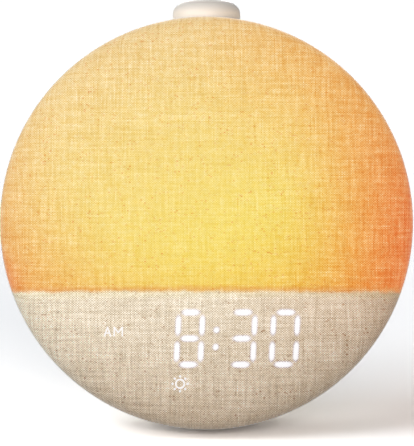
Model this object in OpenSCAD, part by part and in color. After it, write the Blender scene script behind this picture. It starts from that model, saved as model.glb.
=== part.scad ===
// Sunrise alarm clock: a round, fabric-covered body that leans back on a low foot.
// Sizes are in millimetres. Body coordinates have their origin at the centre of the widest ring:
// X to the right, Y backwards along the body's axis, Z up in the plane of the face.
// Stand coordinates have Z straight up from the ground and the origin under the middle of the foot.

/* [Body] */
// Diameter of the widest ring, over the fabric
body_d = 175; // [171:0.5:182]
// Bulge of the front ahead of the widest ring
front_bulge = 30; // [28.5:0.5:33]
// Roundness of the front, where 2 is an ellipse
front_power = 2.25; // [2.1:0.05:2.4]
// Depth of the flat back behind the widest ring
back_depth = 48.5; // [48:0.25:49]
// How much of the back curve's tip the flat back cuts off
back_cut = 1.5; // [1:0.25:3.5]
// Squareness of the back, where 2 is an ellipse
back_power = 3.6; // [3.4:0.1:4]
// Distance from the seam back to the flat back
seam_lead = 10.5; // [9.5:0.25:10.5]
// Thickness of the fabric
fabric_t = 0.8; // [0.6:0.05:1]
// Wall of the dome and of the housings
wall = 2.4; // [2:0.1:2.8]
// Play between shells that slide into each other
shell_play = 0.2; // [0.1:0.05:0.3]

/* [Stand] */
// Backward lean of the body, in degrees
tilt = 10; // [9:0.5:11]
// Clearance under the lowest fabric
ground_gap = 0.85; // [0.7:0.05:1]
// Length of the foot, front to back
foot_l = 26.4; // [24:0.2:27]
// Width of the foot at its front edge
foot_front_w = 22; // [18:0.5:23]
// Width of the foot at its back edge
foot_back_w = 58; // [50:1:60]
// Place of the foot's middle behind the widest ring
foot_y = 30; // [29:0.25:31]
// Height of the pad's underside below the foot's own underside
pad_proud = 1; // [0.8:0.1:1.2]
// Depth of the recess that holds the pad
pad_recess = 0.8; // [0.6:0.1:1]

/* [Light] */
// Height of the divider's top edge below the body's axis
divider_drop = 28.6; // [27.5:0.1:30]
// Thickness of the divider
divider_t = 1.6; // [1.2:0.1:2]
// Distance from the LED board's edge to the widest ring
led_margin = 21.5; // [19.5:0.5:25.5]
// Width of a sunrise LED
led_w = 5; // [4:0.1:5.6]
// Thickness of the diffuser sheet
sheet_t = 0.8; // [0.5:0.1:1]

/* [Display] */
// Height of the digits
digit_h = 24.7; // [22:0.1:25.4]
// Width between the middles of a digit's upright bars
digit_w = 10.2; // [9.4:0.1:10.8]
// Thickness of a bar
bar_t = 2.4; // [1.8:0.1:2.8]
// Gap between neighbouring bars
bar_gap = 0.3; // [0.2:0.05:0.5]
// Slant of the digits, in degrees
slant = 2.8; // [0:0.2:5]
// Height of the digits' middle below the body's axis
digit_drop = 48.9; // [48:0.1:50]

/* [Button] */
// Diameter of the button
button_d = 28.8; // [26:0.2:29]
// Height of the button's top above the widest ring
button_rise = 8.2; // [7.5:0.1:10]
// Place of the button behind the widest ring
button_y = 19; // [18.75:0.25:19.25]
// Travel of the button
button_travel = 1.5; // [1:0.1:2]
// Play between the button and its well
button_play = 0.3; // [0.2:0.05:0.4]

/* [Dials] */
// Diameter of a dial
dial_d = 20; // [18:0.25:21]
// Depth of a dial, from its skirt to its face
dial_h = 8.4; // [7.6:0.2:10]
// Distance of each dial from the middle
dial_x = 33; // [32:0.25:33.5]
// Height of the dials above the body's axis
dial_z = 27; // [26:0.25:28]
// Gap between a dial and its well
dial_gap = 1.2; // [0.8:0.1:1.6]
// Diameter of the dial shafts
shaft_d = 6; // [5:0.1:6.4]
// Running clearance round a shaft or a stem
running_play = 0.05; // [0.03:0.01:0.08]

/* [Alarm slide] */
// Travel of the slide
slide_travel = 4; // [3:0.1:5]
// Height of the slide above the body's axis
slide_z = 44; // [43:0.25:44.5]
// Length of the knob
knob_l = 5; // [4:0.1:6]

/* [Speaker] */
// Height of the speaker's middle below the body's axis
speaker_drop = 20; // [19:0.25:20.5]
// Radius of the grille
grille_r = 27; // [26:0.25:27.5]
// Distance between the grille's holes
grille_pitch = 3.2; // [3:0.1:3.6]
// Width of a grille hole, corner to corner
grille_hole = 2.3; // [1.8:0.1:2.4]
// Travel of the cone, each way
cone_travel = 1; // [0.6:0.1:1.2]

/* [Power socket] */
// Diameter of the plug recess
plug_d = 11; // [10:0.1:11.4]
// Depth of the plug recess
plug_depth = 7; // [6:0.25:8]
// Height of the socket below the body's axis
socket_drop = 60; // [60:0.25:61]

/* [Hidden] */

$fn = 72;
ring_r = body_d / 2;
back_curve = back_depth + back_cut;
seam_y = back_depth - seam_lead;
front_steps = 36;
back_steps = 30;
knot_gap = 0.2; // least distance from a knot to the end of a run
far = 60; // longer than any wall that a cut goes through

// ---- curves of the body ----

// A point of the front curve, shrunk inwards by inset, at an angle from the widest ring
function front_point(inset, a) = [
    (ring_r - inset) * pow(cos(a), 2 / front_power),
    -(front_bulge - inset) * pow(sin(a), 2 / front_power)
];
// The radius of the back curve, shrunk inwards by inset, at a depth y
function back_r(inset, y) =
    (ring_r - inset) * pow(1 - pow(y / (back_curve - inset), back_power), 1 / back_power);
// The front curve from its pole to the widest ring
function front_run(inset) = [
    for (i = [0:front_steps]) front_point(inset, 90 * (1 - i / front_steps))
];
// The back curve between two depths, through knots that lie closer together towards its tip
function back_run(inset, y0, y1) = [
    for (y = [
        y0,
        for (i = [0:back_steps])
            let (knot = (back_curve - inset) * (1 - pow(1 - i / back_steps, 1.5)))
            if (knot > y0 + knot_gap && knot < y1 - knot_gap) knot,
        y1
    ]) [back_r(inset, y), y]
];
function reversed(list) = [for (i = [len(list) - 1:-1:0]) list[i]];
// The points of a list without its first
function rest(list) = [for (i = [1:len(list) - 1]) list[i]];

// ---- placing ----

lowest_reach = max([for (y = [1:0.5:36]) y * sin(tilt) + back_r(0, y) * cos(tilt)]);
centre_z = ground_gap + lowest_reach;
stand_y = -(foot_y / cos(tilt) - centre_z * tan(tilt));

// Body coordinates to stand coordinates
module lean() translate([0, stand_y, centre_z]) rotate([-tilt, 0, 0]) children();
// Stand coordinates to body coordinates
module upright() rotate([tilt, 0, 0]) translate([0, -stand_y, -centre_z]) children();
// A shape drawn as (radius, depth) points, turned about the body's axis through (x, z)
module turned(points, x = 0, z = 0)
    translate([x, 0, z]) rotate([-90, 0, 0]) rotate_extrude() polygon(points);
// A drawing in the plane of the face, made t deep from y backwards
module plate(y, t) translate([0, y + t, 0]) rotate([90, 0, 0]) linear_extrude(t) children();
// A bar along the body's axis through (x, z)
module rod(x, z, y, l, r) translate([x, y, z]) rotate([-90, 0, 0]) cylinder(r = r, h = l);
// A tube along the body's axis through (x, z)
module pipe(x, z, y, l, r, bore) difference() {
    rod(x, z, y, l, r);
    rod(x, z, y - 1, l + 2, bore);
}
// A block given by its low corner and its high corner
module block(low, high) translate(low) cube(high - low);
// The whole body, shrunk inwards by inset, up to a depth y
module body_solid(inset, y) turned(concat(front_run(inset), rest(back_run(inset, 0, y)), [[0, y]]));
// The half of the body behind the widest ring
module back_solid(inset, y) turned(concat([[0, 0]], back_run(inset, 0, y), [[0, y]]));
// A wall of the back between two insets and two depths
module back_wall(outer, inner, y0, y1)
    turned(concat(back_run(outer, y0, y1), reversed(back_run(inner, y0, y1))));

// A square-cornered outline with its corners cut off by c, centred on (x, z)
function clipped(x, z, w, h, c) = [
    [x - w / 2 + c, z - h / 2], [x + w / 2 - c, z - h / 2],
    [x + w / 2, z - h / 2 + c], [x + w / 2, z + h / 2 - c],
    [x + w / 2 - c, z + h / 2], [x - w / 2 + c, z + h / 2],
    [x - w / 2, z + h / 2 - c], [x - w / 2, z - h / 2 + c]
];

// ---- swept wires and springs ----

function unit(v) = v / norm(v);
function tangent(p, i) =
    let (back = i == 0 ? p[1] - p[0] : p[i] - p[i - 1],
         ahead = i == len(p) - 1 ? back : p[i + 1] - p[i])
    unit(unit(back) + unit(ahead));
function ring_points(p, i, r, up, sides) =
    let (t = tangent(p, i), u = unit(cross(up, t)), v = cross(t, u))
    [for (k = [0:sides - 1]) p[i] + r * (cos(360 * k / sides) * u + sin(360 * k / sides) * v)];
// A round tube along points; up is a direction that the route never follows
module sweep(p, r, up, sides = 8) {
    n = len(p);
    polyhedron(
        points = [for (i = [0:n - 1]) each ring_points(p, i, r, up, sides)],
        faces = concat(
            [[for (k = [0:sides - 1]) k]],
            [for (i = [0:n - 2]) for (k = [0:sides - 1])
                let (a = i * sides + k, b = i * sides + (k + 1) % sides)
                [a, a + sides, b + sides, b]],
            [[for (k = [sides - 1:-1:0]) (n - 1) * sides + k]]
        )
    );
}

// ---- screws ----

m3_r = 1.5;
m3_hole_r = 1.7;
case_head_r = 2.8;
case_head_h = 1.4;
case_screw_l = 6;
m25_r = 1.25;
m25_hole_r = 1.35;
board_head_r = 2.3;
board_head_h = 1.2;
board_screw_l = 5;
pilot_end = 0.5; // how much deeper a pilot hole is than its screw's tip

// A screw whose head rests on the plane z = 0 and whose shank goes down
module screw(r, l, head_r, head_h) {
    translate([0, 0, -l]) cylinder(r = r, h = l);
    difference() {
        cylinder(r = head_r, h = head_h);
        translate([0, 0, head_h - drive_depth]) {
            cube([drive_l, drive_w, 2 * drive_depth], center = true);
            cube([drive_w, drive_l, 2 * drive_depth], center = true);
        }
    }
}
drive_depth = 0.7;
drive_l = 2.4;
drive_w = 0.6;
// The same, driven in backwards from a seat at depth y, or forwards from behind
module screw_back(x, z, y) translate([x, y, z]) rotate([90, 0, 0]) children();
module screw_front(x, z, y) translate([x, y, z]) rotate([-90, 0, 0]) children();
module case_screw() screw(m3_r, case_screw_l, case_head_r, case_head_h);
module board_screw() screw(m25_r, board_screw_l, board_head_r, board_head_h);

// ---- depths of the stack, front to back ----

joint_y = 2; // the dome meets the mid housing
tray_y = 4;
tray_t = 2;
chassis_y = 8;
chassis_t = 2.5;
chassis_back = chassis_y + chassis_t;
plate_t = 2.6;
plate_y = back_depth - plate_t; // inner face of the flat back
shell_in = fabric_t + wall;

// ---- shells ----

lip_t = 1.7;
lip_out = ring_r - shell_in - shell_play / 2;
lip_in = lip_out - lip_t;
lip_end = 6;
lip_back = -2;
window_play = 0.3;

// Right half of the display's outline from its top, and the way that each corner goes as it grows
divider_z = -divider_drop;
display_x = 48;
display_half = [
    [display_x, divider_z - 4.4], [display_x, 29.5 - ring_r], [45, 22.5 - ring_r], [22, 14.5 - ring_r]
];
display_growth = [[1, 1], [1, 0], [1, -1], [1, -1]];
// Outline of the display, grown by g
function display_outline(g) =
    let (half = display_half + g * display_growth)
    concat(half, reversed([for (p = half) [-p[0], p[1]]]));

well_r = button_d / 2 + button_play;
collar_t = 0.9;
collar_r = well_r + collar_t;
collar_play = 0.1;
tube_r = collar_r + collar_play + 0.9;
well_top = ring_r - 9.5;
well_floor = ring_r - 15.5;
well_floor_t = 2;
notch_r = tube_r + 0.4;
module on_button_axis(z) translate([0, button_y, z]) children();

// Outline of the foot on the ground, grown by g, in stand coordinates
function foot_outline(g) = [
    [-foot_front_w / 2 - g, -foot_l / 2 - g], [foot_front_w / 2 + g, -foot_l / 2 - g],
    [foot_back_w / 2 + g, foot_l / 2 + g], [-foot_back_w / 2 - g, foot_l / 2 + g]
];
plinth_bottom = pad_proud;
plinth_flat = 4.4;
plinth_top = 24;
floor_top = 7.5;
foot_boss_top = 10;
foot_boss_r = 4;
foot_screw_x = 9;
foot_screw_y = -4;
foot_head_z = 3.2;
foot_play = 0.3;
module foot_block(g, z0, z1)
    upright() translate([0, 0, z0]) linear_extrude(z1 - z0) polygon(foot_outline(g));

hem_y = seam_y - fabric_t;

module fabric_cover() lean() color("wheat") difference() {
    union() {
        turned(concat(front_run(0), rest(back_run(0, 0, hem_y)),
            reversed(back_run(fabric_t, 0, hem_y)), rest(reversed(front_run(fabric_t)))));
        turned([
            [back_r(shell_in, hem_y), hem_y], [back_r(0, hem_y), hem_y],
            [back_r(0, seam_y), seam_y], [back_r(shell_in, hem_y), seam_y]
        ]);
    }
    on_button_axis(well_top) cylinder(r = collar_r + collar_play, h = far);
    foot_block(foot_play, -far / 2, plinth_top + far / 2);
}

module diffuser_dome() lean() color("ivory") difference() {
    union() {
        turned(concat(front_run(fabric_t), [[back_r(fabric_t, joint_y), joint_y],
            [back_r(shell_in, joint_y), joint_y]], reversed(front_run(shell_in))));
        turned([
            [lip_in, lip_back], [ring_r - shell_in + wall / 8, lip_back],
            [ring_r - shell_in + wall / 8, joint_y], [lip_out, joint_y],
            [lip_out, lip_end], [lip_in, lip_end]
        ]);
    }
    plate(-far, far + lip_back) polygon(display_outline(window_play));
    on_button_axis(well_floor - well_floor_t - 1) cylinder(r = notch_r, h = far);
}

tower_ring = ring_r - 21.5;
tower_xz = tower_ring * cos(45);
tower_r = 4.5;
tower_end = seam_y - 5;
web_t = 3;
web_end = tower_end - 3;
housing_screw_l = 18;
housing_seat = seam_y;
corners = [for (x = [-1, 1]) for (z = [-1, 1]) [x * tower_xz, z * tower_xz]];
guide_play = 2 * running_play;
stem_r = 3;

module screw_towers() {
    for (c = corners) rod(c[0], c[1], chassis_back, tower_end - chassis_back, tower_r);
    intersection() {
        for (a = [45:90:315]) rotate([0, a, 0])
            block([tower_ring, chassis_back, -web_t / 2], [ring_r, web_end, web_t / 2]);
        back_solid(fabric_t + wall / 4, seam_y);
    }
}

module mid_housing() lean() color("gainsboro") difference() {
    union() {
        back_wall(fabric_t, shell_in, joint_y, hem_y);
        screw_towers();
        intersection() {
            union() {
                foot_block(2, 0, floor_top);
                upright() for (x = [-foot_screw_x, foot_screw_x])
                    translate([x, foot_screw_y, 0]) cylinder(r = foot_boss_r, h = foot_boss_top);
            }
            back_solid(fabric_t + wall / 4, hem_y);
        }
        intersection() {
            on_button_axis(well_floor - well_floor_t) cylinder(r = tube_r, h = far);
            back_solid(fabric_t + wall / 4, hem_y);
        }
    }
    // room for the button and its stem
    on_button_axis(well_floor) cylinder(r = well_r, h = far);
    on_button_axis(well_floor - far / 2) cylinder(r = stem_r + guide_play, h = far);
    on_button_axis(well_top) cylinder(r = collar_r + collar_play, h = far);
    // flat seat for the foot, and its screws
    upright() {
        translate([0, 0, plinth_flat - far]) linear_extrude(far) polygon(foot_outline(0));
        for (x = [-foot_screw_x, foot_screw_x]) translate([x, foot_screw_y, 0])
            cylinder(r = m3_r, h = foot_head_z + case_screw_l + pilot_end);
    }
    for (c = corners) {
        rod(c[0], c[1], chassis_back - 1, case_screw_l - chassis_t + 1 + pilot_end, m3_r);
        rod(c[0], c[1], housing_seat - housing_screw_l - pilot_end, far, m3_r);
    }
}

well_depth = 4;
dial_floor_y = back_depth - well_depth; // outer face of a dial well's floor
dial_floor_t = 2.2;
dial_seat_y = dial_floor_y - dial_floor_t; // inner face, where an encoder sits
dial_well_r = dial_d / 2 + dial_gap;
bushing_r = shaft_d / 2 + running_play + 0.5;
bushing_play = 0.1;
spigot_t = 1.8;
spigot_r = back_r(shell_in, hem_y) - shell_play;
spigot_y = seam_y - 4;
pillar_r = 5;
counterbore_r = 3.4;
speaker_z = -speaker_drop;
speaker_hole_r = grille_r - 3;
grille_t = 0.8;
grille_play = 0.2;
flange_r = grille_r + 2;
flange_play = 0.2;
box_t = 1.8;
box_r = flange_r + flange_play + box_t;
box_play = 0.05;
ear_r = 3.6;
ear_ring = box_r + ear_r + 0.1;
ear_y = plate_y - 2;
ear_t = 2.5;
ears = [for (a = [45:90:315]) [ear_ring * cos(a), speaker_z + ear_ring * sin(a)]];
socket_z = -socket_drop;
land_depth = 2.7; // of the flat land below the flat back
socket_land = back_depth - land_depth;
socket_end = socket_land - plug_depth;
socket_boss_r = plug_d / 2 + 2.7;
slot_h = 3;
neck_l = 3;
recess_depth = 1.2;
recess_play = 0.4;
knob_h = 4.6;
slide_rest = -slide_travel / 2;

module rear_cover() lean() color("linen") difference() {
    union() {
        turned(concat(back_run(0, seam_y, back_depth), [[0, back_depth], [0, plate_y]],
            reversed(back_run(wall, seam_y, plate_y))));
        turned([
            [spigot_r - spigot_t, spigot_y], [spigot_r, spigot_y], [spigot_r, seam_y],
            [back_r(wall / 2, seam_y), seam_y], [back_r(wall / 2, seam_y + 1), seam_y + 1],
            [spigot_r - spigot_t, seam_y + 1]
        ]);
        for (x = [-dial_x, dial_x])
            rod(x, dial_z, dial_seat_y, back_depth - 1 - dial_seat_y, dial_well_r + 1.8);
        intersection() {
            for (c = corners) rod(c[0], c[1], tower_end, far, pillar_r);
            back_solid(wall / 4, back_depth - 1);
        }
        for (e = ears) rod(e[0], e[1], ear_y, plate_y + 1 - ear_y, ear_r);
        rod(0, socket_z, socket_end, socket_land - socket_end, socket_boss_r);
    }
    // screws that hold the shells together
    for (c = corners) {
        rod(c[0], c[1], tower_end - 1, far, m3_hole_r);
        rod(c[0], c[1], housing_seat, far, counterbore_r);
    }
    // dial wells and the holes for their bushings
    for (x = [-dial_x, dial_x]) {
        rod(x, dial_z, dial_floor_y, far, dial_well_r);
        rod(x, dial_z, dial_seat_y - 1, far, bushing_r + bushing_play);
    }
    // flat seat for the speaker box, its opening, and a step for the grille
    rod(0, speaker_z, plate_y - far, far, box_r + box_play);
    rod(0, speaker_z, plate_y - 1, far, speaker_hole_r);
    rod(0, speaker_z, back_depth - grille_t - 0.1, far, grille_r + grille_play);
    for (e = ears) rod(e[0], e[1], ear_y - 1, case_screw_l - ear_t + 1 + pilot_end / 4, m3_r);
    // plug recess in its flat land
    rod(0, socket_z, socket_land, far, socket_boss_r);
    rod(0, socket_z, socket_end - 1, far, plug_d / 2);
    // slot and thumb recess of the alarm slide
    plate(plate_y - 1, far) square_slot(slide_travel + neck_l + 2 * recess_play, slot_h);
    plate(back_depth - recess_depth, far)
        square_slot(slide_travel + knob_l + 4 * recess_play, knob_h + 2 * recess_play);
    // room for the button's well and for the housing's webs
    on_button_axis(well_floor - well_floor_t - 1) cylinder(r = notch_r, h = well_top - well_floor + 4);
    // room behind the foot
    upright() translate([0, 0, plinth_flat - far]) linear_extrude(far) polygon(foot_outline(0));
}
module square_slot(w, h) translate([-w / 2, slide_z - h / 2]) square([w, h]);

collar_proud = 0.15;
module button_collar() lean() color("antiquewhite") intersection() {
    on_button_axis(well_top) difference() {
        cylinder(r = collar_r, h = far);
        translate([0, 0, -1]) cylinder(r = well_r, h = far + 2);
    }
    body_solid(-collar_proud, seam_y);
}

// ---- light ----

tray_r = lip_in - 2.5;
rim_t = 1.6;
ledge_y = -4.2;
ledge_w = 3;
rim_front = -8;
divider_play = 0.5;
tray_screw_ring = tray_r - 9;
tray_screws = [for (a = [15, 165, 215, 325]) tray_screw_ring * [cos(a), sin(a)]];
boss_r = 3.5;
display_screw_l = 15;
display_screw_x = display_x - 4.5;
display_screw_at = [
    for (x = [-1, 1]) for (z = [divider_z - 9, 27.5 - ring_r]) [x * display_screw_x, z]
];
board_t = 1.6;
display_board_y = -3;
display_board_back = display_board_y + board_t;
led_board_y = tray_y - board_t;
led_board_r = ring_r - led_margin;
led_screw_at = [for (a = [35, 90, 145]) (led_board_r - 4) * [cos(a), sin(a)]];
ribbon_x = 18;
ribbon_w = 12;
ribbon_t = 0.5;
ribbon_hole_play = 1;
ribbon_hole_z = [-47, -40];
led_wire_x = -30;
led_wire_z = 30;
wire_hole_r = 2.2;
led_plug_z = led_wire_z + wire_hole_r + 1.5;

module reflector_tray() lean() color("white") difference() {
    union() {
        difference() {
            turned([
                [0, tray_y], [tray_r - 10, tray_y], [tray_r - rim_t - ledge_w, ledge_y],
                [tray_r - rim_t, ledge_y], [tray_r - rim_t, rim_front], [tray_r, rim_front],
                [tray_r, tray_y + tray_t], [0, tray_y + tray_t]
            ]);
            block([-ring_r, -far, -ring_r], [ring_r, tray_y, divider_z - divider_t / 2]);
            on_button_axis(well_floor - well_floor_t - 1) cylinder(r = notch_r, h = far);
        }
        intersection() {
            block([-tray_r, -far, divider_z - divider_t], [tray_r, tray_y + 1, divider_z]);
            body_solid(shell_in + divider_play, lip_end);
            rod(0, 0, -far, 2 * far, tray_r);
        }
        for (s = tray_screws) rod(s[0], s[1], tray_y, chassis_y - tray_y, boss_r);
        for (s = led_screw_at) rod(s[0], s[1], tray_y, chassis_y - tray_y, boss_r);
        for (s = display_screw_at)
            rod(s[0], s[1], display_board_back, tray_y + 1 - display_board_back, boss_r);
    }
    for (s = tray_screws)
        rod(s[0], s[1], chassis_back - case_screw_l - pilot_end, far, m3_r);
    for (s = led_screw_at) rod(s[0], s[1], tray_y - 1, board_screw_l, m25_r);
    for (s = display_screw_at) rod(s[0], s[1], display_board_back - 1, far, m25_hole_r);
    ribbon_hole(tray_y);
    rod(led_wire_x, led_wire_z, tray_y - 1, tray_t + 2, wire_hole_r);
}
module ribbon_hole(y) block(
    [ribbon_x - ribbon_hole_play, y - 1, ribbon_hole_z[0]],
    [ribbon_x + ribbon_w + ribbon_hole_play, y + 4, ribbon_hole_z[1]]);

led_floor_z = divider_z + 4.6;
module led_board() lean() color("whitesmoke") difference() {
    rod(0, 0, led_board_y, board_t, led_board_r);
    block([-ring_r, -far, -ring_r], [ring_r, far, led_floor_z]);
    for (s = led_screw_at) rod(s[0], s[1], led_board_y - 1, board_t + 2, m25_hole_r);
    rod(led_wire_x, led_wire_z, led_board_y - 1, board_t + 2, wire_hole_r);
}

led_h = 1.6;
// Is the point p further than d from every spot?
function clear_of(p, spots, d) = min([for (s = spots) norm(p - s)]) > d;
led_ring_r = led_board_r - 8;
led_rings = [for (k = [1:4]) [k * led_ring_r / 4, 6 * k]];
led_at = [
    for (ring = led_rings) for (i = [0:ring[1] - 1])
        let (a = 360 * (i + 0.5) / ring[1], p = ring[0] * [cos(a), sin(a)])
        if (p[1] > led_floor_z + led_w / 2 + 0.5 && clear_of(p, concat(led_screw_at,
            [[led_wire_x, led_wire_z], [led_wire_x, led_plug_z + 2]]), led_w + board_head_r)) p
];
module sunrise_leds() lean() color("gold") for (p = led_at)
    block([p[0] - led_w / 2, led_board_y - led_h, p[1] - led_w / 2],
        [p[0] + led_w / 2, led_board_y, p[1] + led_w / 2]);

module diffuser_sheet() lean() color("snow") difference() {
    rod(0, 0, ledge_y - sheet_t, sheet_t, tray_r - rim_t - shell_play);
    block([-ring_r, -far, -ring_r], [ring_r, far, divider_z]);
}

// ---- display ----

digit_z = -digit_drop;
digit_at = [-25.2, -7.07, 15.14, 33.3];
bar_pitch = (digit_h - bar_t) / 2;
upright_l = bar_pitch - bar_t - 2 * bar_gap;
across_l = digit_w - bar_t - 2 * bar_gap;
bar_clip = 0.7;
colon_x = 4;
colon_r = 1.2;
colon_z = [3.65, -3.65];

// Where the slant carries a point drawn upright
function slanted(p) = [p[0] + (p[1] - digit_z) * tan(slant), p[1]];
// The bars of one digit at x: level ones first, then upright ones
function level_bars(x) = [
    for (k = [-1:1]) clipped(x, digit_z + k * bar_pitch, across_l, bar_t, bar_clip)
];
function upright_bars(x, sides) = [
    for (s = sides) for (k = [-1, 1])
        clipped(x + s * digit_w / 2, digit_z + k * bar_pitch / 2, bar_t, upright_l, bar_clip)
];
function digit_bars(x) = concat(level_bars(x), upright_bars(x, [-1, 1]));
all_bars = concat(upright_bars(digit_at[0], [1]), digit_bars(digit_at[1]),
    digit_bars(digit_at[2]), digit_bars(digit_at[3]));
function middle(points) = (points[0] + points[4]) / 2;

pipe_end = -4.2;
mask_end = display_board_y;
module digit_prisms(y0, y1) {
    for (b = all_bars) plate(y0, y1 - y0) polygon([for (p = b) slanted(p)]);
    for (z = colon_z)
        let (p = slanted([colon_x, digit_z + z])) rod(p[0], p[1], y0, y1 - y0, colon_r);
}
module digit_pipes() lean() color("lavenderblush") intersection() {
    digit_prisms(-far, pipe_end);
    body_solid(fabric_t, 0);
}

// Strokes of the small marks, drawn in a box one unit high, with bridges that hold the mask's islands
stroke_t = 0.62;
bridge = 0.3;
letter_a = [[[0, 0], [0.36, 1]], [[0.72, 0], [0.36, 1]], [[0.34, 0.33], [0.59, 0.33]]];
letter_p = [[[0, 0], [0, 1]], [[0, 1], [0.6, 1]], [[0.6, 1], [0.6, 0.48]], [[0.6, 0.48], [0.24, 0.48]]];
letter_m = [[[0, 0], [0, 1]], [[0, 1], [0.42, 0.4]], [[0.42, 0.4], [0.84, 1]], [[0.84, 1], [0.84, 0]]];
mark_h = 4.1;
am_at = [-43.5, -47.8];
pm_at = [-43.5, -56.6];
letter_step = 4.3;
sun_at = [-11.2, -67.9];
sun_r = 1.85;
ray_ring = 3.2;
ray_r = 0.42;
lens_t = 2.5;
well_margin = 0.9;

module stroke(from, to) {
    d = unit(to - from) * stroke_t / 2;
    side = [-d[1], d[0]];
    polygon([from - d - side, to + d - side, to + d + side, from - d + side]);
}
module letter(strokes, at, y0, y1)
    for (s = strokes) plate(y0, y1 - y0) stroke(at + s[0] * mark_h, at + s[1] * mark_h);
module marks(y0, y1) {
    letter(letter_a, am_at, y0, y1);
    letter(letter_m, am_at + [letter_step, 0], y0, y1);
    letter(letter_p, pm_at, y0, y1);
    letter(letter_m, pm_at + [letter_step, 0], y0, y1);
    difference() {
        pipe(sun_at[0], sun_at[1], y0, y1 - y0, sun_r + stroke_t / 2, sun_r - stroke_t / 2);
        block([sun_at[0] - far, y0 - 1, sun_at[1] - bridge / 2],
            [sun_at[0] + far, y1 + 1, sun_at[1] + bridge / 2]);
    }
    for (a = [0:45:315])
        rod(sun_at[0] + ray_ring * cos(a), sun_at[1] + ray_ring * sin(a), y0, y1 - y0, ray_r);
}
mark_w = letter_step + 0.84 * mark_h;
module mark_wells(y0, y1) {
    for (at = [am_at, pm_at])
        block([at[0] - well_margin, y0, at[1] - well_margin],
            [at[0] + mark_w + well_margin, y1, at[1] + mark_h + well_margin]);
    rod(sun_at[0], sun_at[1], y0, y1 - y0, ray_ring + ray_r + well_margin);
}

module icon_lenses() lean() color("ghostwhite") intersection() {
    marks(-far, mask_end);
    difference() {
        body_solid(fabric_t, 0);
        body_solid(fabric_t + lens_t, 0);
    }
}

module light_mask() lean() color("dimgray") difference() {
    intersection() {
        plate(-far, far + mask_end) polygon(display_outline(0));
        body_solid(fabric_t, 0);
    }
    digit_prisms(-far, mask_end + 1);
    marks(-far, mask_end + 1);
    intersection() {
        mark_wells(-far, mask_end + 1);
        body_solid(fabric_t + lens_t, 0);
    }
    for (s = display_screw_at)
        rod(s[0], s[1], tray_y + tray_t - display_screw_l - pilot_end, far, m25_r);
}

module display_board() lean() color("seagreen") difference() {
    plate(display_board_y, board_t) polygon(display_outline(0));
    for (s = display_screw_at) rod(s[0], s[1], display_board_y - 1, board_t + 2, m25_hole_r);
}

chip_led = [1.2, 0.7, 1.2];
display_led_at = concat(
    [for (b = all_bars) slanted(middle(b))],
    [for (z = colon_z) slanted([colon_x, digit_z + z])],
    [for (at = [am_at, pm_at]) at + [mark_w, mark_h] / 2],
    [sun_at]
);
module display_leds() lean() color("lightyellow") for (p = display_led_at)
    block([p[0] - chip_led[0] / 2, display_board_y - chip_led[1], p[1] - chip_led[2] / 2],
        [p[0] + chip_led[0] / 2, display_board_y, p[1] + chip_led[2] / 2]);

// ---- structure ----

chassis_r = ring_r - 13.5;
post_r = 3;
encoder_h = 6.5;
encoder_w = 12;
board_y = dial_seat_y - encoder_h - board_t; // front face of the main board
board_back = board_y + board_t;
main_board_top = 58;
main_board_bottom = 12.5;
main_board_x = 40;
main_board_clip = 9;
post_at = [
    for (x = [-1, 1]) each [
        x * [main_board_x - 4, 0] + [0, main_board_bottom + 4.5],
        x * [main_board_x - 11, 0] + [0, main_board_top - 5]
    ]
];
jack_w = 13;
jack_l = 13;
ballast_low = 12.5 - ring_r;
ballast_h = 12;
ballast_x = 24;
ballast_gap = 0.8; // to the jack behind it
ballast_end = socket_end - jack_l - ballast_gap;
ballast_screw_at = [for (x = [-15, 15]) [x, ballast_low + 7.5]];
shelf_top = ring_r - 30.5;
shelf_t = 1.6;
shelf_x = 10;
shelf_end = button_y + 9;
shelf_boss_r = 3;
button_board_t = 1.6;
button_screw_x = 6.8;
button_screw_y = button_y - 6;
speaker_wire_x = -14;

module chassis_plate() lean() color("silver") difference() {
    union() {
        rod(0, 0, chassis_y, chassis_t, chassis_r);
        for (p = post_at) rod(p[0], p[1], chassis_y, board_y - chassis_y, post_r);
        block([-shelf_x, chassis_y, shelf_top - shelf_t], [shelf_x, shelf_end, shelf_top]);
        for (x = [-shelf_x, shelf_x - shelf_t])
            block([x, chassis_y, shelf_top - 9], [x + shelf_t, shelf_end - 4, shelf_top]);
        for (x = [-button_screw_x, button_screw_x])
            translate([x, button_screw_y, shelf_top - 5]) cylinder(r = shelf_boss_r - 0.6, h = 5);
    }
    for (c = corners) rod(c[0], c[1], chassis_y - 1, chassis_t + 2, m3_hole_r);
    for (s = tray_screws) rod(s[0], s[1], chassis_y - 1, chassis_t + 2, m3_hole_r);
    for (s = ballast_screw_at) rod(s[0], s[1], chassis_y - 1, chassis_t + 2, m3_hole_r);
    for (s = display_screw_at) rod(s[0], s[1], chassis_y - 1, chassis_t + 2, case_head_r);
    for (p = post_at) rod(p[0], p[1], board_back - board_screw_l - pilot_end, far, m25_r);
    for (x = [-button_screw_x, button_screw_x]) translate([x, button_screw_y, shelf_top - far / 10])
        cylinder(r = m25_r, h = far);
    ribbon_hole(chassis_y);
    on_button_axis(well_floor - well_floor_t - 1) cylinder(r = notch_r, h = far);
    rod(led_wire_x, led_wire_z, chassis_y - 1, chassis_t + 2, wire_hole_r);
}

module ballast_weight() lean() color("slategray") difference() {
    block([-ballast_x, chassis_back, ballast_low], [ballast_x, ballast_end, ballast_low + ballast_h]);
    for (s = ballast_screw_at)
        rod(s[0], s[1], chassis_back - 1, case_screw_l - chassis_t + 1 + pilot_end, m3_r);
}

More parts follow.
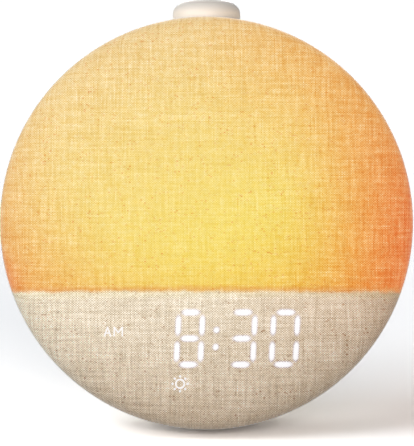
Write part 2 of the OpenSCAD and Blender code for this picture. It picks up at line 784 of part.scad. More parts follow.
module plinth_prism(z0, z1) translate([0, 0, z0]) linear_extrude(z1 - z0) polygon(foot_outline(0));
module base_plinth() color("darkgray") difference() {
    plinth_prism(plinth_bottom, plinth_top);
    // everything that the shells fill, apart from the flat seat
    difference() {
        lean() union() {
            back_solid(fabric_t, seam_y);
            turned(concat([[0, hem_y]], [[back_r(0, hem_y), hem_y]], back_run(0, seam_y, back_depth),
                [[0, back_depth]]));
        }
        plinth_prism(-far, plinth_flat);
    }
    // the open space under the front of the housing belongs to no part of the foot
    lean() block([-ring_r, -far, -ring_r], [ring_r, joint_y, ring_r]);
    translate([0, 0, plinth_bottom - 1]) linear_extrude(1 + pad_recess) polygon(foot_outline(-pad_margin));
    for (x = [-foot_screw_x, foot_screw_x]) translate([x, foot_screw_y, 0]) {
        cylinder(r = m3_hole_r, h = far);
        cylinder(r = counterbore_r, h = foot_head_z);
    }
}
pad_margin = 1.6;
module foot_pad() color("darkslategray") linear_extrude(plinth_bottom + pad_recess)
    polygon(foot_outline(-pad_margin));

// ---- electronics ----

module main_board() lean() color("forestgreen") difference() {
    plate(board_y, board_t) polygon([
        [-main_board_x, main_board_bottom], [main_board_x, main_board_bottom],
        [main_board_x, main_board_top - main_board_clip],
        [main_board_x - main_board_clip, main_board_top],
        [-main_board_x + main_board_clip, main_board_top],
        [-main_board_x, main_board_top - main_board_clip]
    ]);
    for (p = post_at) rod(p[0], p[1], board_y - 1, board_t + 2, m25_hole_r);
}

// A component on the front face of the main board
module on_board(x, z, w, h, t)
    block([x - w / 2, board_y - t, z - h / 2], [x + w / 2, board_y, z + h / 2]);
chips = [[-16, 29, 10, 10, 1.4], [6, 45, 7, 7, 1.2], [-26, 27, 5, 6, 1.2], [21, 34, 6, 5, 1.4]];
cans = [[-24, 40], [-15.5, 40], [30, 36]];
can_r = 3.2;
can_l = 8;
module board_parts() lean() color("darkblue") {
    for (c = chips) on_board(c[0], c[1], c[2], c[3], c[4]);
    for (c = cans) rod(c[0], c[1], board_y - can_l, can_l, can_r);
}
radio_board_t = 0.8;
module radio_module() lean() color("lightgray") {
    on_board(-10, 50, 18, 10, radio_board_t);
    block([-18, board_y - radio_board_t - 2, 46], [-5, board_y - radio_board_t, 54]);
}

connector_t = 4;
plug_face = board_y - connector_t;
ribbon_plug_z = 22;
led_plug = [-34, 30];
speaker_plug = [-14, 17];
button_plug = [14, 53];
power_plug = [-26, 17];
plugs = [led_plug, speaker_plug, button_plug, power_plug];
display_plug_z = -44;
tact_plug_x = 8.5;
module board_connectors() lean() color("ivory") {
    on_board(ribbon_x + ribbon_w / 2, ribbon_plug_z, ribbon_w + 3, 4, connector_t);
    for (p = plugs) on_board(p[0], p[1], 7, 4, connector_t);
    block([ribbon_x - 1.5, display_board_back, display_plug_z - 2],
        [ribbon_x + ribbon_w + 1.5, display_board_back + 3, display_plug_z + 2]);
    block([led_wire_x - 3.5, led_board_y - 2, led_plug_z], [led_wire_x + 3.5, led_board_y, led_plug_z + 4]);
    block([tact_plug_x - 3, button_y - 1, shelf_top + button_board_t],
        [tact_plug_x, button_y + 6, shelf_top + button_board_t + 2.4]);
}

cell_r = 10;
cell_t = 3.2;
cell_at = [3, 27];
holder_t = 0.8;
module coin_cell_holder() lean() color("black") difference() {
    rod(cell_at[0], cell_at[1], board_y - holder_t - cell_t, holder_t + cell_t, cell_r + 1);
    rod(cell_at[0], cell_at[1], board_y - far, far - holder_t, cell_r + running_play);
    block([cell_at[0] - 4, board_y - far, cell_at[1] + 6],
        [cell_at[0] + 4, board_y - holder_t, cell_at[1] + cell_r + 2]);
}
module coin_cell() lean() color("lightsteelblue") {
    rod(cell_at[0], cell_at[1], board_y - holder_t - 2.2, 2.2, cell_r);
    rod(cell_at[0], cell_at[1], board_y - holder_t - cell_t, cell_t - 2.2, cell_r - 0.9);
}

jack_bore_r = 3;
jack_pin_r = 1;
jack_hole = 9;
module dc_jack() lean() color("black") {
    difference() {
        block([-jack_w / 2, socket_end - jack_l, socket_z - jack_w / 2],
            [jack_w / 2, socket_end, socket_z + jack_w / 2]);
        rod(0, socket_z, socket_end - jack_hole, far, jack_bore_r);
    }
    rod(0, socket_z, socket_end - jack_hole - 1, jack_hole, jack_pin_r);
}

// The middle line of a flat cable in (depth, height) points, thickened to t
function ribbon_side(p, t) = [
    for (i = [0:len(p) - 1]) let (d = tangent(p, i)) p[i] + t / 2 * [-d[1], d[0]]
];
ribbon_route = [
    [display_board_back + 3, display_plug_z], [5, display_plug_z], [9, display_plug_z + 1],
    [11.4, -40], [11.5, -30], [11.5, 4], [12.5, 9], [16, 14], [plug_face - 8.2, 19],
    [plug_face - 3.2, ribbon_plug_z], [plug_face, ribbon_plug_z]
];
module display_ribbon() lean() color("lightgray") translate([ribbon_x, 0, 0])
    rotate([90, 0, 90]) linear_extrude(ribbon_w)
        polygon(concat(ribbon_side(ribbon_route, ribbon_t), reversed(ribbon_side(ribbon_route, -ribbon_t))));

wire_r = 1;
wire_run_y = plug_face - 5.2; // where the wires turn towards their plugs
led_route = [
    [led_wire_x, led_board_y - 1, led_plug_z], [led_wire_x, led_board_y - 1, led_plug_z - 1.2],
    [led_wire_x, tray_y - 2, led_wire_z + 0.9], [led_wire_x, tray_y, led_wire_z],
    [led_wire_x, chassis_back + 1.5, led_wire_z], [-31, wire_run_y - 7, led_wire_z],
    [-33, wire_run_y - 3, led_wire_z], [led_plug[0], wire_run_y, led_plug[1]],
    [led_plug[0], plug_face, led_plug[1]]
];
speaker_route = [
    [speaker_wire_x, wire_run_y, 5], [speaker_wire_x, wire_run_y, 12],
    [speaker_wire_x, wire_run_y + 0.6, 15], [speaker_wire_x, wire_run_y + 2.4, speaker_plug[1]],
    [speaker_plug[0], plug_face, speaker_plug[1]]
];
button_plug_z = shelf_top + button_board_t + 1.2;
button_route = [
    [tact_plug_x, button_y + 2.5, button_plug_z], [11.5, button_y + 2.5, button_plug_z],
    [14, button_y + 3, button_plug_z - 1], [14.6, button_y + 3.6, 56], [14.4, wire_run_y - 1, 54],
    [button_plug[0], wire_run_y + 1.4, button_plug[1]], [button_plug[0], plug_face, button_plug[1]]
];
jack_wire_y = socket_end - 9.8;
power_route = [
    [-jack_w / 2, jack_wire_y, socket_z], [-12, jack_wire_y, socket_z], [-20, wire_run_y + 3, -57],
    [-28, wire_run_y + 2, -52], [-35, wire_run_y + 1, -44],
    for (p = [[-38, -34], [-38, -20], [-38, -6], [-36, 4], [-31, 12]]) [p[0], wire_run_y, p[1]],
    [-27, wire_run_y + 1, 16.4], [power_plug[0], wire_run_y + 3, power_plug[1]],
    [power_plug[0], plug_face, power_plug[1]]
];
module wire_harness() lean() color("firebrick") {
    sweep(led_route, wire_r, [1, 0, 0]);
    sweep(speaker_route, wire_r, [1, 0, 0]);
    sweep(button_route, wire_r, [0.4, 1, -0.6]);
    sweep(power_route, wire_r, [0.6, 0.8, -0.9]);
}

// ---- dials ----

bushing_end = dial_floor_y + 2.5;
nut_t = 2;
nut_r = 5.2;
shaft_front = dial_seat_y - encoder_h + 1.7;
dial_front = dial_floor_y + 0.6;
dial_back = dial_front + dial_h;
dial_cavity = bushing_end + 0.6;
dial_wall = 2;
dial_round = 1.2;
shaft_end = dial_back - 2.4;
groove_count = 24;
groove_r = 0.7;

module dial(x) difference() {
    turned([
        [dial_d / 2 - dial_wall, dial_front], [dial_d / 2, dial_front],
        for (i = [0:6]) [dial_d / 2 - dial_round + dial_round * cos(15 * i),
            dial_back - dial_round + dial_round * sin(15 * i)],
        [0, dial_back], [0, dial_cavity], [dial_d / 2 - dial_wall, dial_cavity]
    ], x, dial_z);
    rod(x, dial_z, dial_front, shaft_end - dial_front, shaft_d / 2);
    for (i = [0:groove_count - 1])
        let (a = 360 * (i + 0.5) / groove_count)
        rod(x + dial_d / 2 * cos(a), dial_z + dial_d / 2 * sin(a), dial_front - 1,
            dial_h - dial_round, groove_r);
    block([x - 0.5, dial_back - 0.5, dial_z + dial_d / 4],
        [x + 0.5, dial_back + 1, dial_z + dial_d / 2 - 1.6]);
}
module shaft(x) rod(x, dial_z, shaft_front, shaft_end - shaft_front, shaft_d / 2);
module volume_dial() lean() color("linen") dial(-dial_x);
module brightness_dial() lean() color("linen") dial(dial_x);
module volume_shaft() lean() color("silver") shaft(-dial_x);
module brightness_shaft() lean() color("silver") shaft(dial_x);

module encoders() lean() color("dimgray") for (x = [-dial_x, dial_x]) difference() {
    union() {
        block([x - encoder_w / 2, board_back, dial_z - encoder_w / 2],
            [x + encoder_w / 2, dial_seat_y, dial_z + encoder_w / 2]);
        rod(x, dial_z, dial_seat_y, bushing_end - dial_seat_y, bushing_r);
    }
    rod(x, dial_z, shaft_front - 0.1, far, shaft_d / 2 + running_play);
}
module encoder_nuts() lean() color("goldenrod") for (x = [-dial_x, dial_x]) difference() {
    translate([x, dial_floor_y, dial_z]) rotate([-90, 0, 0]) cylinder(r = nut_r, h = nut_t, $fn = 6);
    rod(x, dial_z, dial_floor_y - 1, nut_t + 2, bushing_r);
}

// ---- alarm slide ----

switch_w = 11;
switch_h = 5;
switch_end = board_back + 5;
lever_w = 1.8;
lever_end = plate_y - 1.4;
carrier_l = 8;
carrier_h = 4.6;
carrier_t = 1.2;
carrier_back = plate_y - running_play;
module alarm_switch() lean() color("dimgray") difference() {
    block([-switch_w / 2, board_back, slide_z - switch_h / 2],
        [switch_w / 2, switch_end, slide_z + switch_h / 2]);
    block([slide_rest - lever_w / 2 - recess_play, switch_end - 2, slide_z - lever_w / 2 - recess_play / 4],
        [slide_rest + slide_travel + lever_w / 2 + recess_play, far,
            slide_z + lever_w / 2 + recess_play / 4]);
}
module switch_lever() lean() color("white")
    block([slide_rest - lever_w / 2, switch_end - 1.8, slide_z - lever_w / 2],
        [slide_rest + lever_w / 2, lever_end, slide_z + lever_w / 2]);
module alarm_carrier() lean() color("lightgray") difference() {
    union() {
        block([slide_rest - carrier_l / 2, carrier_back - carrier_t, slide_z - carrier_h / 2],
            [slide_rest + carrier_l / 2, carrier_back, slide_z + carrier_h / 2]);
        block([slide_rest - lever_w, lever_end - 2.4, slide_z - lever_w],
            [slide_rest + lever_w, carrier_back, slide_z + lever_w]);
    }
    block([slide_rest - lever_w / 2, lever_end - far, slide_z - lever_w / 2],
        [slide_rest + lever_w / 2, lever_end, slide_z + lever_w / 2]);
}
module alarm_knob() lean() color("linen") difference() {
    union() {
        block([slide_rest - neck_l / 2, carrier_back, slide_z - slot_h / 2 + recess_play / 2],
            [slide_rest + neck_l / 2, back_depth, slide_z + slot_h / 2 - recess_play / 2]);
        block([slide_rest - knob_l / 2, back_depth - recess_depth + running_play, slide_z - knob_h / 2],
            [slide_rest + knob_l / 2, back_depth + 1.4, slide_z + knob_h / 2]);
    }
    for (k = [-1:1]) block([slide_rest + k * 1.2 - 0.25, back_depth + 1, slide_z - far],
        [slide_rest + k * 1.2 + 0.25, far, slide_z + far]);
}

// ---- speaker ----

grille_y = back_depth - grille_t - 0.1;
module speaker_grille() lean() color("gray") difference() {
    rod(0, speaker_z, grille_y, grille_t, grille_r);
    for (i = [-8:8]) for (j = [-10:10])
        let (x = (i + (abs(j) % 2) / 2) * grille_pitch, z = j * grille_pitch * sin(60))
        if (norm([x, z]) < speaker_hole_r - grille_hole)
            translate([x, grille_y - 1, speaker_z + z]) rotate([-90, 0, 0])
                cylinder(r = grille_hole / 2, h = grille_t + 2, $fn = 6);
}

gasket_y = plate_y - 1;
surround_t = 0.5;
flange_y = gasket_y - surround_t;
flange_t = 1.4;
box_step = flange_y - flange_t;
roll_r = 1.5;
cone_r = flange_r - 8;
roll_mid = cone_r + 1.4;
frame_r = flange_r - 10.4; // narrow end of the basket
basket_t = 1.2;
cone_y = flange_y - surround_t;
coil_r = 8;
coil_y = plate_y - 8.9;
ledge_depth = plate_y - 13.1;
basket_floor = plate_y - 17.9;

window_w = 14; // of a window in the basket

module speaker_gasket() lean() color("black")
    pipe(0, speaker_z, gasket_y, plate_y - gasket_y, flange_r - flange_play, flange_r - 4.5);
module speaker_basket() lean() color("darkgray") difference() {
    turned([
        [cone_r + 1.5, flange_y], [flange_r, flange_y], [flange_r, box_step], [flange_r - 3.4, box_step],
        [frame_r, ledge_depth - 0.4], [frame_r, basket_floor], [coil_r + 1.4, basket_floor],
        [coil_r + 1.4, basket_floor + basket_t], [frame_r - 2.6, basket_floor + basket_t],
        [frame_r - 2.6, ledge_depth], [frame_r - 1.4, ledge_depth], [cone_r + 1.5, box_step - 1.8]
    ], 0, speaker_z);
    for (a = [0:90:270]) translate([0, 0, speaker_z]) rotate([0, a, 0])
        block([frame_r - 1.1, ledge_depth + 1.4, -window_w / 2], [far, box_step - 1.6, window_w / 2]);
}
module speaker_surround() lean() color("black")
    turned(concat(
        [[flange_r - 0.4, flange_y], [flange_r - 0.4, gasket_y]],
        [for (i = [0:10]) [roll_mid, flange_y + surround_t / 2]
            + (roll_r + surround_t / 2) * [cos(18 * i), sin(18 * i)] + [0, -surround_t / 2]],
        [[cone_r - 1.1, gasket_y], [cone_r - 1.1, flange_y]],
        [for (i = [10:-1:0]) [roll_mid, flange_y]
            + (roll_r - surround_t / 2) * [cos(18 * i), sin(18 * i)]]
    ), 0, speaker_z);
module speaker_cone() lean() color("dimgray")
    turned([
        [coil_r, coil_y], [cone_r - 1, cone_y], [cone_r, cone_y], [cone_r, flange_y],
        [cone_r - 1.2, flange_y],
        [coil_r, coil_y - 0.6 + surround_t * 2]
    ], 0, speaker_z);
cap_base = coil_y + 0.75;
cap_r = 8.4;
cap_h = 2.6;
module dust_cap() lean() color("gray")
    turned(concat(
        [for (i = [0:12]) [cap_r * cos(7.5 * i), cap_base + cap_h * sin(7.5 * i)]],
        [for (i = [12:-1:0]) [(cap_r - 0.4) * cos(7.5 * i), cap_base + (cap_h - 0.4) * sin(7.5 * i)]]
    ), 0, speaker_z);
top_plate_t = 2.4;
coil_t = 0.35;
winding_t = 0.45;
// The winding reaches past the top plate by the cone's travel, both ways
winding_l = top_plate_t + 2 * cone_travel;
winding_y = basket_floor - (top_plate_t + winding_l) / 2;
module voice_coil() lean() color("orange")
    turned([
        [coil_r - coil_t, winding_y], [coil_r + winding_t, winding_y],
        [coil_r + winding_t, winding_y + winding_l], [coil_r, winding_y + winding_l],
        [coil_r, coil_y + 0.2], [coil_r - coil_t, coil_y + 0.2]
    ], 0, speaker_z);
spider_t = 0.4;
spider_wave = 0.5;
spider_steps = 12;
// The spider's face at a depth y: level at both ends, with waves between
function spider_face(y) = [
    for (i = [0:spider_steps]) [
        coil_r + (frame_r - 1.6 - coil_r) * i / spider_steps,
        y + (i > 1 && i < spider_steps - 1 ? spider_wave * (i % 2) : 0)
    ]
];
module speaker_spider() lean() color("goldenrod")
    turned(concat(spider_face(ledge_depth + spider_t), reversed(spider_face(ledge_depth))), 0, speaker_z);
yoke_t = 2.6;
box_gap = 1.9; // to the chassis in front of it
box_front = chassis_back + box_gap;
yoke_back = box_front + box_t + 0.8 + yoke_t;
magnet_r = frame_r - 2.8;
magnet_back = basket_floor - top_plate_t;
module speaker_magnet() lean() color("darkslategray")
    pipe(0, speaker_z, yoke_back, magnet_back - yoke_back, magnet_r, coil_r + 2.5);
module magnet_plates() lean() color("silver") {
    pipe(0, speaker_z, magnet_back, top_plate_t, magnet_r - 0.8, coil_r + 0.9);
    difference() {
        union() {
            rod(0, speaker_z, yoke_back - yoke_t, yoke_t, magnet_r - 0.8);
            rod(0, speaker_z, yoke_back - 1, basket_floor - yoke_back + 1, coil_r - 0.8);
        }
        rod(0, speaker_z, yoke_back - far / 2, far, 2);
    }
}
module speaker_box() lean() color("dimgray") difference() {
    union() {
        turned([
            [0, box_front], [box_r, box_front], [box_r, plate_y], [flange_r + flange_play, plate_y],
            [flange_r + flange_play, box_step], [flange_r - 1.5, box_step],
            [flange_r - 1.5, box_front + box_t], [0, box_front + box_t]
        ], 0, speaker_z);
        for (a = [45:90:315]) translate([0, 0, speaker_z]) rotate([0, a, 0])
            block([box_r - 1, ear_y - ear_t, -ear_r * 0.8], [ear_ring, ear_y, ear_r * 0.8]);
        for (e = ears) rod(e[0], e[1], ear_y - ear_t, ear_t, ear_r);
    }
    for (e = ears) rod(e[0], e[1], ear_y - ear_t - 1, ear_t + 2, m3_hole_r);
    translate([speaker_wire_x, wire_run_y, speaker_z + 15]) cylinder(r = wire_r, h = far);
}

// ---- button ----

cap_top = ring_r + button_rise;
cap_dome_h = 7.1;
cap_base_z = cap_top - cap_dome_h;
cap_power = 2.3;
cap_steps = 16;
cap_wall = 1.8;
skirt_low = ring_r - 8.5;
seat_low = ring_r - 1;
seat_r = 7;
stem_top = seat_low + 4.5;
stem_low = well_floor - well_floor_t - 6;
clip_t = 0.8;
clip_top = well_floor - well_floor_t - running_play;
groove_bottom = clip_top - clip_t;
stem_groove_r = 2.2;
clip_r = 4.6;
function cap_run(r, h) = [
    for (i = [0:cap_steps])
        let (a = 90 * i / cap_steps)
        [r * pow(cos(a), 2 / cap_power), cap_base_z + h * pow(sin(a), 2 / cap_power)]
];
module on_axis_turned(points) on_button_axis(0) rotate_extrude() polygon(points);

module button_cap() lean() color("antiquewhite") difference() {
    union() {
        on_axis_turned(concat([[button_d / 2 - cap_wall, skirt_low], [button_d / 2, skirt_low]],
            cap_run(button_d / 2, cap_dome_h),
            reversed(cap_run(button_d / 2 - cap_wall, cap_dome_h - cap_wall))));
        on_button_axis(seat_low) cylinder(r = seat_r, h = cap_top - cap_wall / 2 - seat_low);
    }
    on_button_axis(seat_low - 1) cylinder(r = stem_r, h = stem_top - seat_low + 1);
}
module button_stem() lean() color("white") on_axis_turned([
    [0, stem_low], [stem_r, stem_low], [stem_r, groove_bottom], [stem_groove_r, groove_bottom],
    [stem_groove_r, clip_top], [stem_r, clip_top], [stem_r, stem_top], [0, stem_top]
]);
module stem_clip() lean() color("silver") on_button_axis(groove_bottom) difference() {
    cylinder(r = clip_r, h = clip_t);
    translate([0, 0, -1]) cylinder(r = stem_groove_r, h = clip_t + 2);
    translate([-stem_groove_r * 0.7, 0, -1]) cube([stem_groove_r * 1.4, clip_r * 2, clip_t + 2]);
}
spring_r = 5;
spring_wire_r = 0.35;
spring_turns = 6;
spring_steps = 12;
spring_low = well_floor + spring_wire_r;
spring_high = seat_low - spring_wire_r;
module button_spring() lean() color("silver") on_button_axis(0)
    sweep([for (i = [0:spring_turns * spring_steps])
        let (a = 360 * i / spring_steps, f = i / (spring_turns * spring_steps))
        [spring_r * cos(a), spring_r * sin(a), spring_low + f * (spring_high - spring_low)]],
        spring_wire_r, [0, 0, 1], 6);

button_board_top = shelf_top + button_board_t;
tact_w = 6.2;
tact_top = stem_low - button_travel - 0.4;
plunger_r = 1.75;
plunger_l = 3;
module button_board() lean() color("forestgreen") difference() {
    block([-shelf_x, button_y - 8, shelf_top], [shelf_x, shelf_end - 1, button_board_top]);
    for (x = [-button_screw_x, button_screw_x])
        translate([x, button_screw_y, shelf_top - 1]) cylinder(r = m25_hole_r, h = button_board_t + 2);
}
module tact_switch() lean() color("black") difference() {
    block([-tact_w / 2, button_y - tact_w / 2, button_board_top],
        [tact_w / 2, button_y + tact_w / 2, tact_top]);
    on_button_axis(stem_low - plunger_l - button_travel - 0.3)
        cylinder(r = plunger_r + running_play, h = far);
}
module switch_plunger() lean() color("white") on_button_axis(stem_low - plunger_l)
    cylinder(r = plunger_r, h = plunger_l);

// ---- fasteners ----

module housing_screws() lean() color("silver") for (c = corners)
    screw_front(c[0], c[1], housing_seat) screw(m3_r, housing_screw_l, case_head_r, case_head_h);
module case_screws() color("silver") {
    lean() {
        for (c = corners) screw_back(c[0], c[1], chassis_y) case_screw();
        for (s = ballast_screw_at) screw_back(s[0], s[1], chassis_y) case_screw();
        for (s = tray_screws) screw_front(s[0], s[1], chassis_back) case_screw();
        for (e = ears) screw_back(e[0], e[1], ear_y - ear_t) case_screw();
    }
    for (x = [-foot_screw_x, foot_screw_x])
        translate([x, foot_screw_y, foot_head_z]) rotate([180, 0, 0]) case_screw();
}
module board_screws() lean() color("silver") {
    for (p = post_at) screw_front(p[0], p[1], board_back) board_screw();
    for (s = led_screw_at) screw_back(s[0], s[1], led_board_y) board_screw();
    for (x = [-button_screw_x, button_screw_x])
        translate([x, button_screw_y, button_board_top]) board_screw();
}
module display_screws() lean() color("silver") for (s = display_screw_at)
    screw_front(s[0], s[1], tray_y + tray_t) screw(m25_r, display_screw_l, board_head_r, board_head_h);

fabric_cover();
diffuser_dome();
mid_housing();
rear_cover();
button_collar();
reflector_tray();
led_board();
sunrise_leds();
diffuser_sheet();
light_mask();
digit_pipes();
icon_lenses();
display_board();
display_leds();
chassis_plate();
ballast_weight();
base_plinth();
foot_pad();
main_board();
board_parts();
radio_module();
board_connectors();
coin_cell_holder();
coin_cell();
dc_jack();
display_ribbon();
wire_harness();
volume_dial();
volume_shaft();
brightness_dial();
brightness_shaft();
encoders();
encoder_nuts();
alarm_switch();
switch_lever();
alarm_carrier();
alarm_knob();
speaker_grille();
speaker_gasket();
speaker_basket();
speaker_surround();
speaker_cone();
dust_cap();
voice_coil();
speaker_spider();
speaker_magnet();
magnet_plates();
speaker_box();
button_cap();
button_stem();
stem_clip();
button_spring();
button_board();
tact_switch();
switch_plunger();
housing_screws();
case_screws();
board_screws();
display_screws();
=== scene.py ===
"""The looks of a sunrise alarm clock: its linen, glow, digits, plastics, metals and studio."""
import math

import bmesh
import bpy
import numpy as np
from mathutils import Matrix, Vector


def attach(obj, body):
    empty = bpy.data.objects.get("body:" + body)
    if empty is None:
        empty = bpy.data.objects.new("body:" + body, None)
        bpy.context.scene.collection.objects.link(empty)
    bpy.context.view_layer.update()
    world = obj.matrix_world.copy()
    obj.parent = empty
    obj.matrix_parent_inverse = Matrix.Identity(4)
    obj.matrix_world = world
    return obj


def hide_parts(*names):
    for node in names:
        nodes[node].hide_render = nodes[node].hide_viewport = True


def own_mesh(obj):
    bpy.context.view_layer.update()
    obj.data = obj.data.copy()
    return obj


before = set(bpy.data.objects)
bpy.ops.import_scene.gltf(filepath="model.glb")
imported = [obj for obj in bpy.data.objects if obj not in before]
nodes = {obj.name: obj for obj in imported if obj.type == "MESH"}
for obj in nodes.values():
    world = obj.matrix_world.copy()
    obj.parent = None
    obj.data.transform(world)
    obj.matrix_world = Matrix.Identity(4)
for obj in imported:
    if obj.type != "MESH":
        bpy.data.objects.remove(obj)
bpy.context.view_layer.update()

MM = 0.001

# The clock's own frame: its face's middle at the widest ring, leaning back by LEAN
LEAN = math.radians(10)
RING_CENTRE = Vector((0, -14.6639, 89.5998)) * MM
CLOCK = Matrix.Translation(RING_CENTRE) @ Matrix.Rotation(-LEAN, 4, "X")

# The cover's curves, as the source has them
RING_R = 87.5
FRONT_BULGE, FRONT_POWER = 30.0, 2.25
BACK_CURVE, BACK_POWER = 50.0, 3.6
CLOTH_T = 0.8
TUCK_R_INSET = 3.2
HEM_Y, SEAM_Y = 37.2, 38.0
BUTTON_Y, COLLAR_HOLE_R, WELL_TOP = 19.0, 15.7, 78.0
FOOT_L, FOOT_FRONT_W, FOOT_BACK_W, FOOT_PLAY, FOOT_TOP = 26.4, 22.0, 58.0, 0.3, 54.0

# The cover's mesh: its step along the curve in mm, its sides, and how far a cutter stands proud
MESH_STEP, MESH_AROUND, CUT_CLEAR = 1.4, 320, 40.0
SHOULDER_GIVE, TINY = 0.75, 1e-9

# The divider between the sunrise lamps and the digits, and how far the button goes down, in mm
DIVIDER_Z, BUTTON_TRAVEL = -28.6, 1.5


def place(name, data):
    """A new object in the scene, with this mesh, lamp or camera."""
    piece = bpy.data.objects.new(name, data)
    bpy.context.scene.collection.objects.link(piece)
    return piece


def made(name, form):
    """A new object from a bmesh, which is then freed."""
    mesh = bpy.data.meshes.new(name)
    form.to_mesh(mesh)
    form.free()
    return place(name, mesh)


# ---- the linen cover ----

def front_curve(inset):
    """Radius and depth in mm from the pole to the widest ring, inset into the cloth."""
    turn = np.linspace(math.pi / 2, 0, 900)
    radius = (RING_R - inset) * np.cos(turn).clip(0) ** (2 / FRONT_POWER)
    depth = -(FRONT_BULGE - inset) * np.sin(turn).clip(0) ** (2 / FRONT_POWER)
    return np.stack([radius, depth], 1)


def back_radius(inset, depth):
    return (RING_R - inset) * (1 - (depth / (BACK_CURVE - inset)) ** BACK_POWER) ** (1 / BACK_POWER)


def back_curve(inset, end):
    """Radius and depth in mm from the widest ring back to a depth."""
    depth = np.linspace(0, end, 400)
    return np.stack([back_radius(inset, depth), depth], 1)


def evenly(curve, step):
    """The same curve with its points a step apart."""
    run = np.concatenate([[0], np.cumsum(np.linalg.norm(np.diff(curve, axis=0), axis=1))])
    spots = np.linspace(0, run[-1], max(2, round(run[-1] / step) + 1))
    return np.stack([np.interp(spots, run, curve[:, axis]) for axis in (0, 1)], 1)


def thread_reach(curve):
    """How far from the middle of the cloth each point lies, in mm of thread.

    The weave lies straight over the face. Over the shoulder a mm of cloth holds as little as
    SHOULDER_GIVE mm of unstretched thread, and behind the ring it lies at rest again.
    """
    reach = [curve[0][0]]
    for (r0, y0), (r1, y1) in zip(curve[:-1], curve[1:]):
        step = math.hypot(r1 - r0, y1 - y0)
        least = SHOULDER_GIVE if y1 <= 0 else 1.0
        reach.append(reach[-1] + step * max(abs(r1 - r0) / max(step, TINY), least))
    return reach


def turned_mesh(name, curve, reach, around):
    """A closed skin of revolution about the clock's axis, with its thread places as a UV map."""
    skin = bmesh.new()
    cloth = skin.loops.layers.uv.new("cloth")
    angles = [2 * math.pi * i / around for i in range(around)]
    rings = []
    for (radius, depth), far in zip(curve, reach):
        if radius < 1e-6:
            rings.append([(skin.verts.new((0, depth * MM, 0)), (0.0, 0.0))] * around)
            continue
        rings.append([
            (
                skin.verts.new((radius * MM * math.cos(a), depth * MM, radius * MM * math.sin(a))),
                (far * MM * math.cos(a), far * MM * math.sin(a)),
            )
            for a in angles
        ])
    for ring, after in zip(rings, rings[1:]):
        for i in range(around):
            j = (i + 1) % around
            corners = [ring[i], ring[j], after[j], after[i]]
            unique = [c for k, c in enumerate(corners) if c[0] not in [d[0] for d in corners[:k]]]
            face = skin.faces.new([c[0] for c in unique])
            face.smooth = True
            for loop, corner in zip(face.loops, unique):
                loop[cloth].uv = corner[1]
    bmesh.ops.recalc_face_normals(skin, faces=skin.faces)
    skin.transform(CLOCK)
    return made(name, skin)


def prism(name, outline, low, high, where):
    """A straight-sided cutter from an outline in mm."""
    block = bmesh.new()
    block.loops.layers.uv.new("cloth")
    floor = [block.verts.new((x * MM, y * MM, low * MM)) for x, y in outline]
    top = [block.verts.new((x * MM, y * MM, high * MM)) for x, y in outline]
    block.faces.new(floor[::-1])
    block.faces.new(top)
    for i in range(len(outline)):
        j = (i + 1) % len(outline)
        block.faces.new([floor[i], floor[j], top[j], top[i]])
    block.transform(where)
    return made(name, block)


def cut(piece, cutters):
    """Cuts the openings out of a piece and keeps the result as its mesh."""
    for cutter in cutters:
        opening = piece.modifiers.new(cutter.name, "BOOLEAN")
        opening.operation = "DIFFERENCE"
        opening.solver = "EXACT"
        opening.object = cutter
    shaped = piece.evaluated_get(bpy.context.evaluated_depsgraph_get())
    mesh = bpy.data.meshes.new_from_object(shaped)
    piece.modifiers.clear()
    piece.data = mesh
    for cutter in cutters:
        bpy.data.objects.remove(cutter)


def linen_cover():
    """One round of linen, stretched over the dome and tucked into the seam behind the ring."""
    fold = [
        (
            back_radius(0, SEAM_Y - CLOTH_T * (1 - math.sin(a))) - CLOTH_T * (1 - math.cos(a)),
            SEAM_Y - CLOTH_T * (1 - math.sin(a)),
        )
        for a in np.linspace(0, math.pi / 2, 7)
    ]
    tuck = back_radius(TUCK_R_INSET, HEM_Y)
    outer = np.concatenate([
        evenly(np.concatenate([front_curve(0), back_curve(0, SEAM_Y - CLOTH_T)[1:]]), MESH_STEP),
        fold[1:],
        [(tuck, SEAM_Y)],
    ])
    inner = np.concatenate([
        [(tuck, HEM_Y)],
        evenly(np.concatenate([front_curve(CLOTH_T), back_curve(CLOTH_T, HEM_Y)[1:]]), MESH_STEP)[::-1],
    ])
    far = thread_reach(outer)
    near = thread_reach(inner[::-1])[::-1]
    cover = turned_mesh("linen_cover", np.concatenate([outer, inner]), far + near, MESH_AROUND)
    collar = [
        (COLLAR_HOLE_R * math.cos(a), BUTTON_Y + COLLAR_HOLE_R * math.sin(a))
        for a in np.linspace(0, 2 * math.pi, 96, endpoint=False)
    ]
    front = FOOT_FRONT_W / 2 + FOOT_PLAY
    back = FOOT_BACK_W / 2 + FOOT_PLAY
    half = FOOT_L / 2 + FOOT_PLAY
    foot = [(-front, -half), (front, -half), (back, half), (-back, half)]
    cut(cover, [
        prism("collar_opening", collar, WELL_TOP, WELL_TOP + CUT_CLEAR, CLOCK),
        prism("foot_opening", foot, -30, FOOT_TOP, Matrix.Identity(4)),
    ])
    return cover


# ---- finishes ----

def linear(colour):
    """An sRGB hex colour as the linear colour that a shader takes."""
    channels = [int(colour[i:i + 2], 16) / 255 for i in (1, 3, 5)]
    return [c / 12.92 if c <= 0.04045 else ((c + 0.055) / 1.055) ** 2.4 for c in channels] + [1.0]


def per(mm):
    """How often a pattern of this size in mm comes in a metre."""
    return 1000.0 / mm


def add(tree, kind, inputs=(), output=0, **settings):
    """Adds a node with its settings, and its inputs, each a value or another node's output.

    Gives back one of its outputs, by place or by name, or the node itself if it has none.
    """
    node = tree.nodes.new(kind)
    for name, value in settings.items():
        setattr(node, name, value)
    for socket, value in dict(inputs).items():
        if isinstance(value, bpy.types.NodeSocket):
            tree.links.new(value, node.inputs[socket])
        else:
            node.inputs[socket].default_value = value
    shown = node.outputs if isinstance(output, str) else [s for s in node.outputs if s.enabled]
    return shown[output] if len(shown) else node


